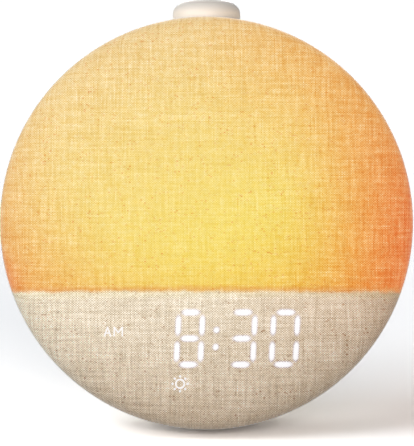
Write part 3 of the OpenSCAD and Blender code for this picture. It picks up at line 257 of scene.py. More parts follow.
def fresh_tree(owner):
    """The empty node tree of a material or a world."""
    owner.use_nodes = True
    owner.node_tree.nodes.clear()
    return owner.node_tree


def finish(name, recipe):
    """A material from a recipe, which works out the shader's inputs for a place on the piece."""
    material = bpy.data.materials.new(name)
    tree = fresh_tree(material)
    where = add(tree, "ShaderNodeTexCoord", output=3)
    shader = add(tree, "ShaderNodeBsdfPrincipled", recipe(tree, where))
    add(tree, "ShaderNodeOutputMaterial", {"Surface": shader})
    return material


FLOW, HANDLED, STAIN, BLOTCH, GLASS = 26, 9, 6, 3, 0.6  # mm across one patch of each
COPPER_T = 0.035


def moulded(colour, shade, grit, depth, gloss, **more):
    """Injection-moulded plastic: faint flow marks under the grit that a spark-eroded tool leaves.

    Real grit is under a tenth of a millimetre. It is drawn several times coarser, so that it shows.
    """
    def recipe(tree, where):
        flow = add(tree, "ShaderNodeTexNoise", {
            "Vector": where, "Scale": per(FLOW), "Detail": 3.0, "Distortion": 0.6,
        })
        tone = add(tree, "ShaderNodeMix", {0: flow, 6: linear(colour), 7: linear(shade)}, data_type="RGBA")
        texture = add(tree, "ShaderNodeTexNoise", {"Vector": where, "Scale": per(grit), "Detail": 2.0})
        handled = add(tree, "ShaderNodeTexNoise", {"Vector": where, "Scale": per(HANDLED), "Detail": 2.0})
        rough = add(tree, "ShaderNodeMapRange", {
            "Value": handled, 1: 0.3, 2: 0.7, 3: gloss - 0.05, 4: gloss + 0.05,
        })
        bump = add(tree, "ShaderNodeBump", {"Height": texture, "Distance": depth * MM, "Strength": 0.8})
        return {"Base Color": tone, "Roughness": rough, "Normal": bump, **more}
    return recipe


def worked_metal(colour, shade, grain, depth, gloss, **more):
    """Metal with the lines of its tool: grain is the size in mm of the marks along x, y and z.

    Real tool marks are finer, and are drawn as wide as they need to be to break up a highlight.
    """
    def recipe(tree, where):
        lines = add(tree, "ShaderNodeVectorMath", {
            0: where, 1: [per(g) for g in grain],
        }, operation="MULTIPLY")
        marks = add(tree, "ShaderNodeTexNoise", {"Vector": lines, "Scale": 1.0, "Detail": 4.0})
        stain = add(tree, "ShaderNodeTexNoise", {"Vector": where, "Scale": per(STAIN), "Detail": 3.0})
        tone = add(tree, "ShaderNodeMix", {0: stain, 6: linear(colour), 7: linear(shade)}, data_type="RGBA")
        rough = add(tree, "ShaderNodeMapRange", {
            "Value": marks, 1: 0.3, 2: 0.7, 3: gloss - 0.07, 4: gloss + 0.07,
        })
        bump = add(tree, "ShaderNodeBump", {"Height": marks, "Distance": depth * MM, "Strength": 0.7})
        return {"Base Color": tone, "Roughness": rough, "Normal": bump, "Metallic": 1.0, **more}
    return recipe


def pressed_cells(colour, shade, cell, depth, gloss, **more):
    """A body of grains or cells: cast, sintered or foamed, with pits between them."""
    def recipe(tree, where):
        cells = add(tree, "ShaderNodeTexVoronoi", {"Vector": where, "Scale": per(cell)})
        tone = add(tree, "ShaderNodeMix", {0: cells, 6: linear(colour), 7: linear(shade)}, data_type="RGBA")
        rough = add(tree, "ShaderNodeMapRange", {
            "Value": cells, 1: 0.0, 2: 0.8, 3: gloss - 0.06, 4: gloss + 0.06,
        })
        bump = add(tree, "ShaderNodeBump", {
            "Height": cells, "Distance": depth * MM, "Strength": 0.8,
        }, invert=True)
        return {"Base Color": tone, "Roughness": rough, "Normal": bump, **more}
    return recipe


def laminate(mask, copper, track, **more):
    """Glass-epoxy board: solder mask over copper tracks, with the glass weave just showing."""
    def recipe(tree, where):
        flat = add(tree, "ShaderNodeMapping", {"Vector": where, "Rotation": (math.pi / 2, 0, 0)})
        tracks = add(tree, "ShaderNodeTexBrick", {
            "Vector": flat, "Scale": per(track), "Brick Width": 2.7, "Row Height": 0.5,
            "Color1": (0, 0, 0, 1), "Color2": (0.25, 0.25, 0.25, 1),
            "Mortar": (1, 1, 1, 1), "Mortar Size": 0.06, "Mortar Smooth": 0.3,
        })
        weave = add(tree, "ShaderNodeTexChecker", {"Vector": where, "Scale": per(GLASS)}, output=1)
        tone = add(tree, "ShaderNodeMix", {0: tracks, 6: linear(mask), 7: linear(copper)}, data_type="RGBA")
        height = add(tree, "ShaderNodeMath", {0: weave, 1: 0.15, 2: tracks}, operation="MULTIPLY_ADD")
        bump = add(tree, "ShaderNodeBump", {"Height": height, "Distance": COPPER_T * MM, "Strength": 0.8})
        return {"Base Color": tone, "Roughness": 0.32, "Normal": bump, "Coat Weight": 0.3, **more}
    return recipe


def wound(colour, shade, pitch, depth, gloss, axis=(0, 0, 1), **more):
    """Wire, cloth or ribs laid side by side, pitch mm apart along an axis, drawn darker in the grooves
    between them as painted shade.
    """
    def recipe(tree, where):
        along = add(tree, "ShaderNodeVectorMath", {0: where, 1: axis}, output=0, operation="DOT_PRODUCT")
        turns = add(tree, "ShaderNodeMath", {0: along, 1: 2 * math.pi * per(pitch)}, operation="MULTIPLY")
        ridge = add(tree, "ShaderNodeMath", {0: turns}, operation="SINE")
        blotch = add(tree, "ShaderNodeTexNoise", {"Vector": where, "Scale": per(BLOTCH), "Detail": 2.0})
        # painted shade: the grooves are mixed towards the darker colour and the crests towards the paler
        # one, over a random blotch
        mixed = add(tree, "ShaderNodeMath", {0: ridge, 1: 0.25, 2: blotch}, operation="MULTIPLY_ADD")
        tone = add(tree, "ShaderNodeMix", {0: mixed, 6: linear(shade), 7: linear(colour)}, data_type="RGBA")
        bump = add(tree, "ShaderNodeBump", {"Height": ridge, "Distance": depth * MM, "Strength": 0.8})
        return {"Base Color": tone, "Roughness": gloss, "Normal": bump, **more}
    return recipe


# Lit marks under the cloth, in mm on the clock's face. A bar is its middle's offset from its sign's
# centre, half its length along x and z, and how much its ends are drawn out along each.
DIGIT_Z, DIGIT_HALF_H, DIGIT_HALF_W = -48.57, 11.02, 5.05
SLANT = math.tan(math.radians(2.84))
EIGHT_X, THREE_X, ZERO_X, COLON_X = -7.13, 14.9, 32.9, 4.04
BAR_R, UPRIGHT_R, END_EASE = 1.25, 1.1, 0.55
BAR_HALF_L, UPRIGHT_HALF_L = 3.6, 4.0
UPRIGHT_BAR = (DIGIT_HALF_W, DIGIT_HALF_H / 2, UPRIGHT_R, UPRIGHT_HALF_L, 1.0, END_EASE)
END_BAR = (0.0, DIGIT_HALF_H, BAR_HALF_L, BAR_R, END_EASE, 1.0)
MIDDLE_BAR = (0.0, 0.0, BAR_HALF_L, BAR_R, END_EASE, 1.0)
COLON_DOT = (0.0, 3.58, 1.15, 1.25, 1.0, 1.0)
BOTH_SIDES, TOP_AND_BOTTOM, LEFT_AND_RIGHT = (True, True), (False, True), (True, False)
LIT_BARS = [
    (EIGHT_X, BOTH_SIDES, UPRIGHT_BAR),
    (EIGHT_X, BOTH_SIDES, END_BAR),
    (EIGHT_X, BOTH_SIDES, MIDDLE_BAR),
    (THREE_X, TOP_AND_BOTTOM, UPRIGHT_BAR),
    (THREE_X, TOP_AND_BOTTOM, END_BAR),
    (THREE_X, TOP_AND_BOTTOM, MIDDLE_BAR),
    (ZERO_X, BOTH_SIDES, UPRIGHT_BAR),
    (ZERO_X, BOTH_SIDES, END_BAR),
    (COLON_X, TOP_AND_BOTTOM, COLON_DOT),
]


def nearest(tree, distances):
    """The smallest of several distances."""
    least = distances[0]
    for distance in distances[1:]:
        least = add(tree, "ShaderNodeMath", {0: least, 1: distance}, operation="MINIMUM")
    return least


def bar_distance(tree, face, centre, mirrored, bar, slant=0.0, tilt=0.0):
    """Distance in mm from a round-ended bar, and from the ones that mirror it about its sign."""
    at_x, at_z, half_x, half_z, ease_x, ease_z = bar
    at = add(tree, "ShaderNodeVectorMath", {0: face, 1: (centre[0], 0, centre[1])}, operation="SUBTRACT")
    x, _, z = (add(tree, "ShaderNodeSeparateXYZ", {0: at}, output=k) for k in range(3))
    if slant:
        x = add(tree, "ShaderNodeMath", {0: z, 1: -slant, 2: x}, operation="MULTIPLY_ADD")
    if mirrored[0]:
        x = add(tree, "ShaderNodeMath", {0: x}, operation="ABSOLUTE")
    if mirrored[1]:
        z = add(tree, "ShaderNodeMath", {0: z}, operation="ABSOLUTE")
    place = add(tree, "ShaderNodeCombineXYZ", {0: x, 2: z})
    place = add(tree, "ShaderNodeMapping", {
        "Vector": place, "Location": (at_x, 0, at_z), "Rotation": (0, tilt, 0),
    }, vector_type="TEXTURE")
    place = add(tree, "ShaderNodeVectorMath", {0: place}, operation="ABSOLUTE")
    radius = min(half_x, half_z)
    straight = (half_x - radius / ease_x, 0, half_z - radius / ease_z)
    place = add(tree, "ShaderNodeVectorMath", {0: place, 1: straight}, operation="SUBTRACT")
    place = add(tree, "ShaderNodeVectorMath", {0: place, 1: (0, 0, 0)}, operation="MAXIMUM")
    place = add(tree, "ShaderNodeVectorMath", {0: place, 1: (ease_x, 0, ease_z)}, operation="MULTIPLY")
    reach = add(tree, "ShaderNodeVectorMath", {0: place}, operation="LENGTH")
    return add(tree, "ShaderNodeMath", {0: reach, 1: radius}, operation="SUBTRACT")


# The morning mark and the small sun beside the digits
LETTER_H, STROKE_HALF = 3.6, 0.27
LETTER_A, LETTER_M = (-41.66, -45.7), (-37.15, -45.7)
SUN_X, SUN_Z, SUN_RING_R, SUN_RAY_R, SUN_DOT_R = -11.15, -67.75, 1.8, 3.15, 0.45


def mark_strokes():
    """The two small letters, each half a letter mirrored about its middle, with each stroke's tilt."""
    half_a, half_m, valley = 0.36 * LETTER_H, 0.47 * LETTER_H, 0.62 * LETTER_H
    leg = math.hypot(half_a, LETTER_H) / 2 + STROKE_HALF
    slope = math.hypot(half_m, valley) / 2 + STROKE_HALF
    upright = LETTER_H / 2 + STROKE_HALF
    return [
        (LETTER_A, (half_a / 2, 0.0, STROKE_HALF, leg, 1, 1), -math.atan2(half_a, LETTER_H)),
        (LETTER_A, (0.0, -0.17 * LETTER_H, 0.2 * LETTER_H, STROKE_HALF, 1, 1), 0.0),
        (LETTER_M, (half_m, 0.0, STROKE_HALF, upright, 1, 1), 0.0),
        (
            LETTER_M, (half_m / 2, (LETTER_H - valley) / 2, STROKE_HALF, slope, 1, 1),
            math.atan2(half_m, valley),
        ),
    ]


def sun_distance(tree, face):
    """Distance in mm from the sun's ring and its eight dots."""
    at = add(tree, "ShaderNodeVectorMath", {0: face, 1: (SUN_X, 0, SUN_Z)}, operation="SUBTRACT")
    at = add(tree, "ShaderNodeVectorMath", {0: at, 1: (1, 0, 1)}, operation="MULTIPLY")
    reach = add(tree, "ShaderNodeVectorMath", {0: at}, operation="LENGTH")
    off_ring = add(tree, "ShaderNodeMath", {0: reach, 1: SUN_RING_R}, operation="SUBTRACT")
    off_ring = add(tree, "ShaderNodeMath", {0: off_ring}, operation="ABSOLUTE")
    ring = add(tree, "ShaderNodeMath", {0: off_ring, 1: STROKE_HALF}, operation="SUBTRACT")
    x, _, z = (add(tree, "ShaderNodeSeparateXYZ", {0: at}, output=k) for k in range(3))
    turn = add(tree, "ShaderNodeMath", {0: z, 1: x}, operation="ARCTAN2")
    fold = add(tree, "ShaderNodeMath", {0: turn, 1: math.pi / 8}, operation="PINGPONG")
    across = add(tree, "ShaderNodeMath", {0: fold}, operation="SINE")
    across = add(tree, "ShaderNodeMath", {0: across, 1: reach}, operation="MULTIPLY")
    out = add(tree, "ShaderNodeMath", {0: reach, 1: SUN_RAY_R}, operation="SUBTRACT")
    off = add(tree, "ShaderNodeCombineXYZ", {0: across, 1: out})
    off = add(tree, "ShaderNodeVectorMath", {0: off}, operation="LENGTH")
    dot = add(tree, "ShaderNodeMath", {0: off, 1: SUN_DOT_R}, operation="SUBTRACT")
    return nearest(tree, [ring, dot])


# Linen yarn is uneven and spun from pale bast with darker bits in it. mm from one upright thread,
# and from one level thread, to the next:
WARP_PITCH, WEFT_PITCH = 0.557, 0.4925
LINEN_PALE, LINEN_DARK = "#EDE0CA", "#E5D4BA"
FLECK_PLAIN, FLECK_LIT, FLECK_LIT_SHARE = "#AC7A4E", "#E8964A", 0.7
# How much the cloth's thickness changes with each over and under, upright thread, level thread,
# slub, cloud and crossing
OVER, WARPS, WEFTS, SLUBS, CLOUD, CROSSING = 4.2, 6.0, 5.4, 1.2, 0.6, 1.9
# Light from behind evens out the overs and unders, and calms all of it where it is strongest
OVER_LOST_IN_LIGHT, CALM_EDGE, CALM_MIDDLE = -1.5, 0.94, 0.6
# How thick cloth deepens the colour, how much that varies, and how it darkens plain and lit cloth. Part of
# that darkening is the yarn's own unevenness, and part, from the weave's overs and unders, is painted shade
# between the threads
DEEPEN, WARMTH, SHADE_PLAIN, SHADE_LIT = 0.125, 0.7, 0.08, 0.046

# The glow: each blend goes over the ones before it. Its middle and radii in mm, how many radii out
# it is gone and full, and its colour
GLOW_BASE = "#F5CDB4"
GLOWS = [
    ((50.1, -69.5), (330.0, 287.3), 1.0, 0.0, "#FFEB67"),
    ((-11.9, 43.9), (1.0, 1.0), 46.1, 142.5, "#F07F32"),
    ((211.7, 17.7), (1.0, 1.0), 183.0, 94.6, "#FE8654"),
    ((-98.0, -28.2), (1.0, 1.0), 24.8, 0.0, "#F46B46"),
    ((77.5, 90.5), (1.0, 1.0), 103.5, 0.0, "#FBB865"),
]
# painted light: where the lamps shine, the cloth's own colour is painted as a dimmed share of the glow's
# colour, and under the lit digits as a plain grey
ROOM_SHARE = 0.3  # how much of a lit thread's colour the room's light gives
# the seam colour belongs to the glow; the second colour is painted light, the glow's spill below the divider
# painted into the cloth's colour
GLOW_SEAM, PAINTED_GLOW_SPILL = "#E8A05C", "#EFE3B4"
LEAK_LEFT, LEAK_RIGHT, LEAK_DEPTH = (0.19, 0.2, 0.165, 1), (0.12, 0.06, 0.03, 1), 48.0
# The divider's shadow: how ragged it is, and its width, in mm
RAGGED, DROOP, EDGE_W = 2.2, 0.0001, 2.2
# painted light: the pale tint of the digits' light, painted into the cloth round them
PAINTED_DIGIT_HALO = "#E4DDEB"
LIT_CLOTH, LIT_LIGHT = (0.4, 0.4, 0.4, 1), (0.75, 0.75, 0.78, 1)


def falloff(tree, face, middle, radii, full, gone):
    """1 at full radii from a place on the face, easing to 0 at gone radii from it."""
    at = add(tree, "ShaderNodeVectorMath", {0: face, 1: (middle[0], 0, middle[1])}, operation="SUBTRACT")
    at = add(tree, "ShaderNodeVectorMath", {0: at, 1: (1 / radii[0], 0, 1 / radii[1])}, operation="MULTIPLY")
    reach = add(tree, "ShaderNodeVectorMath", {0: at}, operation="LENGTH")
    return add(
        tree, "ShaderNodeMapRange", {"Value": reach, 1: gone, 2: full, 3: 0.0, 4: 1.0},
        interpolation_type="SMOOTHSTEP",
    )


def laid_threads(tree, threads):
    """Where each thread lies: it wanders by half its spacing over some forty others."""
    wander = add(tree, "ShaderNodeTexNoise", {"Vector": threads, "Scale": 1 / 40, "Detail": 1.0}, output=1)
    wander = add(tree, "ShaderNodeVectorMath", {0: wander, 1: (0.5, 0.5, 0.5)}, operation="SUBTRACT")
    wander = add(tree, "ShaderNodeVectorMath", {0: wander, 1: (1.2, 1.2, 0)}, operation="MULTIPLY")
    return add(tree, "ShaderNodeVectorMath", {0: threads, 1: wander}, operation="ADD")


def overs_and_unders(tree, laid):
    """Plain weave: up where one thread crosses over the other, down where it goes under."""
    turns = add(tree, "ShaderNodeVectorMath", {0: laid, 1: (math.pi, math.pi, 0)}, operation="MULTIPLY")
    waves = add(tree, "ShaderNodeVectorMath", {0: turns}, operation="SINE")
    warp, weft = (add(tree, "ShaderNodeSeparateXYZ", {0: waves}, output=k) for k in (0, 1))
    return add(tree, "ShaderNodeMath", {0: warp, 1: weft}, operation="MULTIPLY")


def cloth_thickness(tree, laid, over):
    """How thick the cloth is from place to place: each thread, slubs, clouds and crossings."""
    whole = add(tree, "ShaderNodeVectorMath", {0: laid}, operation="FLOOR")
    thick = add(tree, "ShaderNodeMath", {0: over, 1: OVER}, operation="MULTIPLY")
    # what each spread follows, its step from thread to thread and along a thread, and its share
    spreads = (
        (whole, (17.31, 0, 0), (0, 1 / 32, 0), WARPS),
        (whole, (0, 13.73, 0), (1 / 36, 0, 0), WEFTS),
        (laid, (0.4, 0, 0), (0, 1 / 34, 0), SLUBS),
        (laid, (0, 0.4, 0), (1 / 40, 0, 0), SLUBS),
        (laid, (1 / 9, 1 / 9, 0), (0, 0, 0), CLOUD),
    )
    for across, fine, lengthwise, share in spreads:
        along = add(tree, "ShaderNodeVectorMath", {0: laid, 1: lengthwise}, operation="MULTIPLY")
        grain = add(tree, "ShaderNodeVectorMath", {0: across, 1: fine, 2: along}, operation="MULTIPLY_ADD")
        grain = add(tree, "ShaderNodeTexNoise", {"Vector": grain, "Scale": 1.0, "Detail": 1.0})
        grain = add(tree, "ShaderNodeMath", {0: grain, 1: 0.5}, operation="SUBTRACT")
        thick = add(tree, "ShaderNodeMath", {0: grain, 1: share, 2: thick}, operation="MULTIPLY_ADD")
    crossing = add(tree, "ShaderNodeTexWhiteNoise", {"Vector": whole}, noise_dimensions="2D")
    crossing = add(tree, "ShaderNodeMath", {0: crossing, 1: 0.5}, operation="SUBTRACT")
    return add(tree, "ShaderNodeMath", {0: crossing, 1: CROSSING, 2: thick}, operation="MULTIPLY_ADD")


def flax_flecks(tree, threads, laid):
    """Unbleached bits of flax, a thread or two long, in patches."""
    bits = add(tree, "ShaderNodeVectorMath", {0: laid, 1: (0.7, 0.9, 0)}, operation="MULTIPLY")
    bits = add(tree, "ShaderNodeVectorMath", {0: bits}, operation="FLOOR")
    bits = add(tree, "ShaderNodeTexWhiteNoise", {"Vector": bits}, noise_dimensions="2D")
    bits = add(tree, "ShaderNodeMapRange", {"Value": bits, 1: 0.9, 2: 1.0, 3: 0.0, 4: 1.0})
    patches = add(tree, "ShaderNodeTexNoise", {"Vector": threads, "Scale": 1 / 14, "Detail": 2.0})
    patches = add(tree, "ShaderNodeMapRange", {"Value": patches, 1: 0.42, 2: 0.62, 3: 0.15, 4: 0.9})
    return add(tree, "ShaderNodeMath", {0: bits, 1: patches}, operation="MULTIPLY")


def divider_line(tree, threads, x, z):
    """Height in mm against the divider's soft and ragged shadow."""
    ragged = add(tree, "ShaderNodeTexNoise", {"Vector": threads, "Scale": 1 / 7, "Detail": 3.0})
    droop = add(tree, "ShaderNodeMath", {0: x, 1: 2.0}, operation="POWER")
    line = add(tree, "ShaderNodeMath", {0: droop, 1: DROOP, 2: z}, operation="MULTIPLY_ADD")
    return add(tree, "ShaderNodeMath", {0: ragged, 1: RAGGED, 2: line}, operation="MULTIPLY_ADD")


def sunrise(tree, face, line, fleck):
    """The colour of the light that comes through the cloth."""
    seam = add(tree, "ShaderNodeMapRange", {
        "Value": line, 1: DIVIDER_Z + 4.2, 2: DIVIDER_Z + 1.8, 3: 0.0, 4: 0.55,
    }, interpolation_type="SMOOTHSTEP")
    fleck = add(tree, "ShaderNodeMath", {0: fleck, 1: FLECK_LIT_SHARE}, operation="MULTIPLY")
    glow = linear(GLOW_BASE)
    for middle, radii, gone, full, colour in GLOWS:
        spread = falloff(tree, face, middle, radii, full, gone)
        glow = add(tree, "ShaderNodeMix", {0: spread, 6: glow, 7: linear(colour)}, data_type="RGBA")
    glow = add(tree, "ShaderNodeMix", {0: seam, 6: glow, 7: linear(GLOW_SEAM)}, data_type="RGBA")
    return add(tree, "ShaderNodeMix", {0: fleck, 6: glow, 7: linear(FLECK_LIT)}, data_type="RGBA")


def lit_marks(tree, face, thick):
    """How lit the digits, letters and sun are, and a painted halo of the digits' light on the cloth round
    them.
    """
    signs = nearest(tree, [
        bar_distance(tree, face, (sign_x, DIGIT_Z), mirrored, bar, SLANT)
        for sign_x, mirrored, bar in LIT_BARS
    ])
    marks = nearest(tree, [
        bar_distance(tree, face, centre, LEFT_AND_RIGHT, bar, 0.0, tilt)
        for centre, bar, tilt in mark_strokes()
    ])
    sun = sun_distance(tree, face)
    ragged = add(tree, "ShaderNodeMath", {0: thick, 1: 0.035, 2: signs}, operation="MULTIPLY_ADD")
    lit = add(tree, "ShaderNodeMapRange", {"Value": ragged, 1: 0.16, 2: -0.34, 3: 0.0, 4: 0.94})
    lit_mark = add(tree, "ShaderNodeMapRange", {"Value": marks, 1: 0.16, 2: -0.14, 3: 0.0, 4: 0.88})
    lit_sun = add(tree, "ShaderNodeMapRange", {"Value": sun, 1: 0.16, 2: -0.1, 3: 0.0, 4: 1.0})
    lit = add(tree, "ShaderNodeMath", {0: lit, 1: lit_mark}, operation="MAXIMUM")
    lit = add(tree, "ShaderNodeMath", {0: lit, 1: lit_sun}, operation="MAXIMUM")
    # painted light: a pale halo round the digits, to be mixed into the cloth's colour
    painted_digit_halo = add(tree, "ShaderNodeMapRange", {"Value": signs, 1: 0.6, 2: 0.0, 3: 0.0, 4: 0.7})
    return lit, painted_digit_halo


def plain_cloth(tree, threads, line, fleck, painted_digit_halo):
    """The cloth's own colour, with painted light on it: paler just below the divider, where the glow's spill
    is painted in, and round the digits, where a halo of their light is painted in.
    """
    cloud = add(tree, "ShaderNodeTexNoise", {"Vector": threads, "Scale": 1 / 25, "Detail": 2.0})
    # painted light: the glow's spill just below the divider, mixed into the cloth's colour
    painted_glow_spill = add(tree, "ShaderNodeMapRange", {
        "Value": line, 1: DIVIDER_Z - 3.0, 2: DIVIDER_Z + 0.4, 3: 0.0, 4: 0.5,
    }, interpolation_type="SMOOTHSTEP")
    own = add(tree, "ShaderNodeMix", {
        0: cloud, 6: linear(LINEN_PALE), 7: linear(LINEN_DARK),
    }, data_type="RGBA")
    for share, colour in ((painted_glow_spill, PAINTED_GLOW_SPILL), (fleck, FLECK_PLAIN), (painted_digit_halo, PAINTED_DIGIT_HALO)):
        own = add(tree, "ShaderNodeMix", {0: share, 6: own, 7: linear(colour)}, data_type="RGBA")
    return own


def threaded(tree, colour, thick, warm, darken):
    """A colour with the threads in it: thick cloth is deeper and darker, and the weave's overs and unders
    darken it as painted shade. Also how dark that is.
    """
    deepen = add(tree, "ShaderNodeMath", {0: thick, 1: DEEPEN, 2: warm}, operation="MULTIPLY_ADD")
    shade = add(tree, "ShaderNodeMath", {0: thick, 1: -darken, 2: 1.0}, operation="MULTIPLY_ADD")
    deep = add(tree, "ShaderNodeGamma", {"Color": colour, "Gamma": deepen})
    return add(tree, "ShaderNodeVectorMath", {0: deep, "Scale": shade}, operation="SCALE"), shade


def leaked_light(tree, x, line, shade):
    """The little light that gets past the divider, paler on the left."""
    leak = add(tree, "ShaderNodeMapRange", {"Value": x, 1: 0.0, 2: 75.0, 3: 0.0, 4: 1.0})
    leak = add(tree, "ShaderNodeMix", {0: leak, 6: LEAK_LEFT, 7: LEAK_RIGHT}, data_type="RGBA")
    fade = add(tree, "ShaderNodeMapRange", {
        "Value": line, 1: DIVIDER_Z - LEAK_DEPTH, 2: DIVIDER_Z, 3: 0.0, 4: 1.0,
    })
    fade = add(tree, "ShaderNodeMath", {0: fade, 1: shade}, operation="MULTIPLY")
    return add(tree, "ShaderNodeVectorMath", {0: leak, "Scale": fade}, operation="SCALE")


def stretched_linen(tree, where):
    """Plain-woven linen, stretched: a dry, matte cloth with a fine lattice and a soft pale bloom.

    Above the divider the lamps behind the dome shine through it, and below it the digits do.
    """
    body = add(tree, "ShaderNodeMapping", {
        "Vector": where, "Location": RING_CENTRE, "Rotation": (-LEAN, 0, 0),
    }, vector_type="TEXTURE")
    face = add(tree, "ShaderNodeVectorMath", {0: body, 1: (1000, 1000, 1000)}, operation="MULTIPLY")
    cloth = add(tree, "ShaderNodeUVMap", uv_map="cloth")
    threads = add(tree, "ShaderNodeVectorMath", {
        0: cloth, 1: (per(WARP_PITCH), per(WEFT_PITCH), 0),
    }, operation="MULTIPLY")
    laid = laid_threads(tree, threads)
    over = overs_and_unders(tree, laid)
    thick = cloth_thickness(tree, laid, over)
    fleck = flax_flecks(tree, threads, laid)
    warm = add(tree, "ShaderNodeTexNoise", {
        "Vector": threads, "Scale": 1 / 5, "Detail": 3.0, "Roughness": 0.6,
    })
    warm = add(tree, "ShaderNodeMapRange", {
        "Value": warm, 1: 0.0, 2: 1.0, 3: 1 - WARMTH / 2, 4: 1 + WARMTH / 2,
    })
    x, _, z = (add(tree, "ShaderNodeSeparateXYZ", {0: face}, output=k) for k in range(3))
    line = divider_line(tree, threads, x, z)
    lamps = add(tree, "ShaderNodeMapRange", {
        "Value": line, 1: DIVIDER_Z, 2: DIVIDER_Z + EDGE_W, 3: 0.0, 4: 1.0,
    }, interpolation_type="SMOOTHSTEP")
    lit, painted_digit_halo = lit_marks(tree, face, thick)

    # the threads stand out less where the glow is strongest
    calm = add(tree, "ShaderNodeMapRange", {
        "Value": falloff(tree, face, (-5, 0), (1, 1), 15, 75),
        1: 0.0, 2: 1.0, 3: CALM_EDGE, 4: CALM_MIDDLE,
    })
    thin = add(tree, "ShaderNodeMath", {0: over, 1: OVER_LOST_IN_LIGHT, 2: thick}, operation="MULTIPLY_ADD")
    thin = add(tree, "ShaderNodeMath", {0: thin, 1: calm}, operation="MULTIPLY")
    glow, _ = threaded(tree, sunrise(tree, face, line, fleck), thin, warm, SHADE_LIT)
    own, shade = threaded(tree, plain_cloth(tree, threads, line, fleck, painted_digit_halo), thick, warm, SHADE_PLAIN)

    # painted light: the cloth's colour where the lamps shine is the glow's colour dimmed, not the linen's
    # own
    painted_glow_base = add(tree, "ShaderNodeVectorMath", {0: glow, "Scale": ROOM_SHARE}, operation="SCALE")
    base = add(tree, "ShaderNodeMix", {0: lamps, 6: own, 7: painted_glow_base}, data_type="RGBA")
    base = add(tree, "ShaderNodeMix", {0: lit, 6: base, 7: LIT_CLOTH}, data_type="RGBA")
    through = add(tree, "ShaderNodeVectorMath", {0: glow, "Scale": 1 - ROOM_SHARE}, operation="SCALE")
    leak = leaked_light(tree, x, line, shade)
    light = add(tree, "ShaderNodeMix", {0: lamps, 6: leak, 7: through}, data_type="RGBA")
    light = add(tree, "ShaderNodeMix", {0: lit, 6: light, 7: LIT_LIGHT}, data_type="RGBA")
    height = add(tree, "ShaderNodeMath", {0: thick, 1: 0.3, 2: over}, operation="MULTIPLY_ADD")
    bump = add(tree, "ShaderNodeBump", {"Height": height, "Distance": 0.04 * MM, "Strength": 0.35})
    return {
        "Base Color": base, "Roughness": 0.92, "Normal": bump, "Emission Color": light,
        "Emission Strength": 1.0, "Sheen Weight": 1.0, "Sheen Roughness": 0.3, "Specular IOR Level": 0.2,
    }


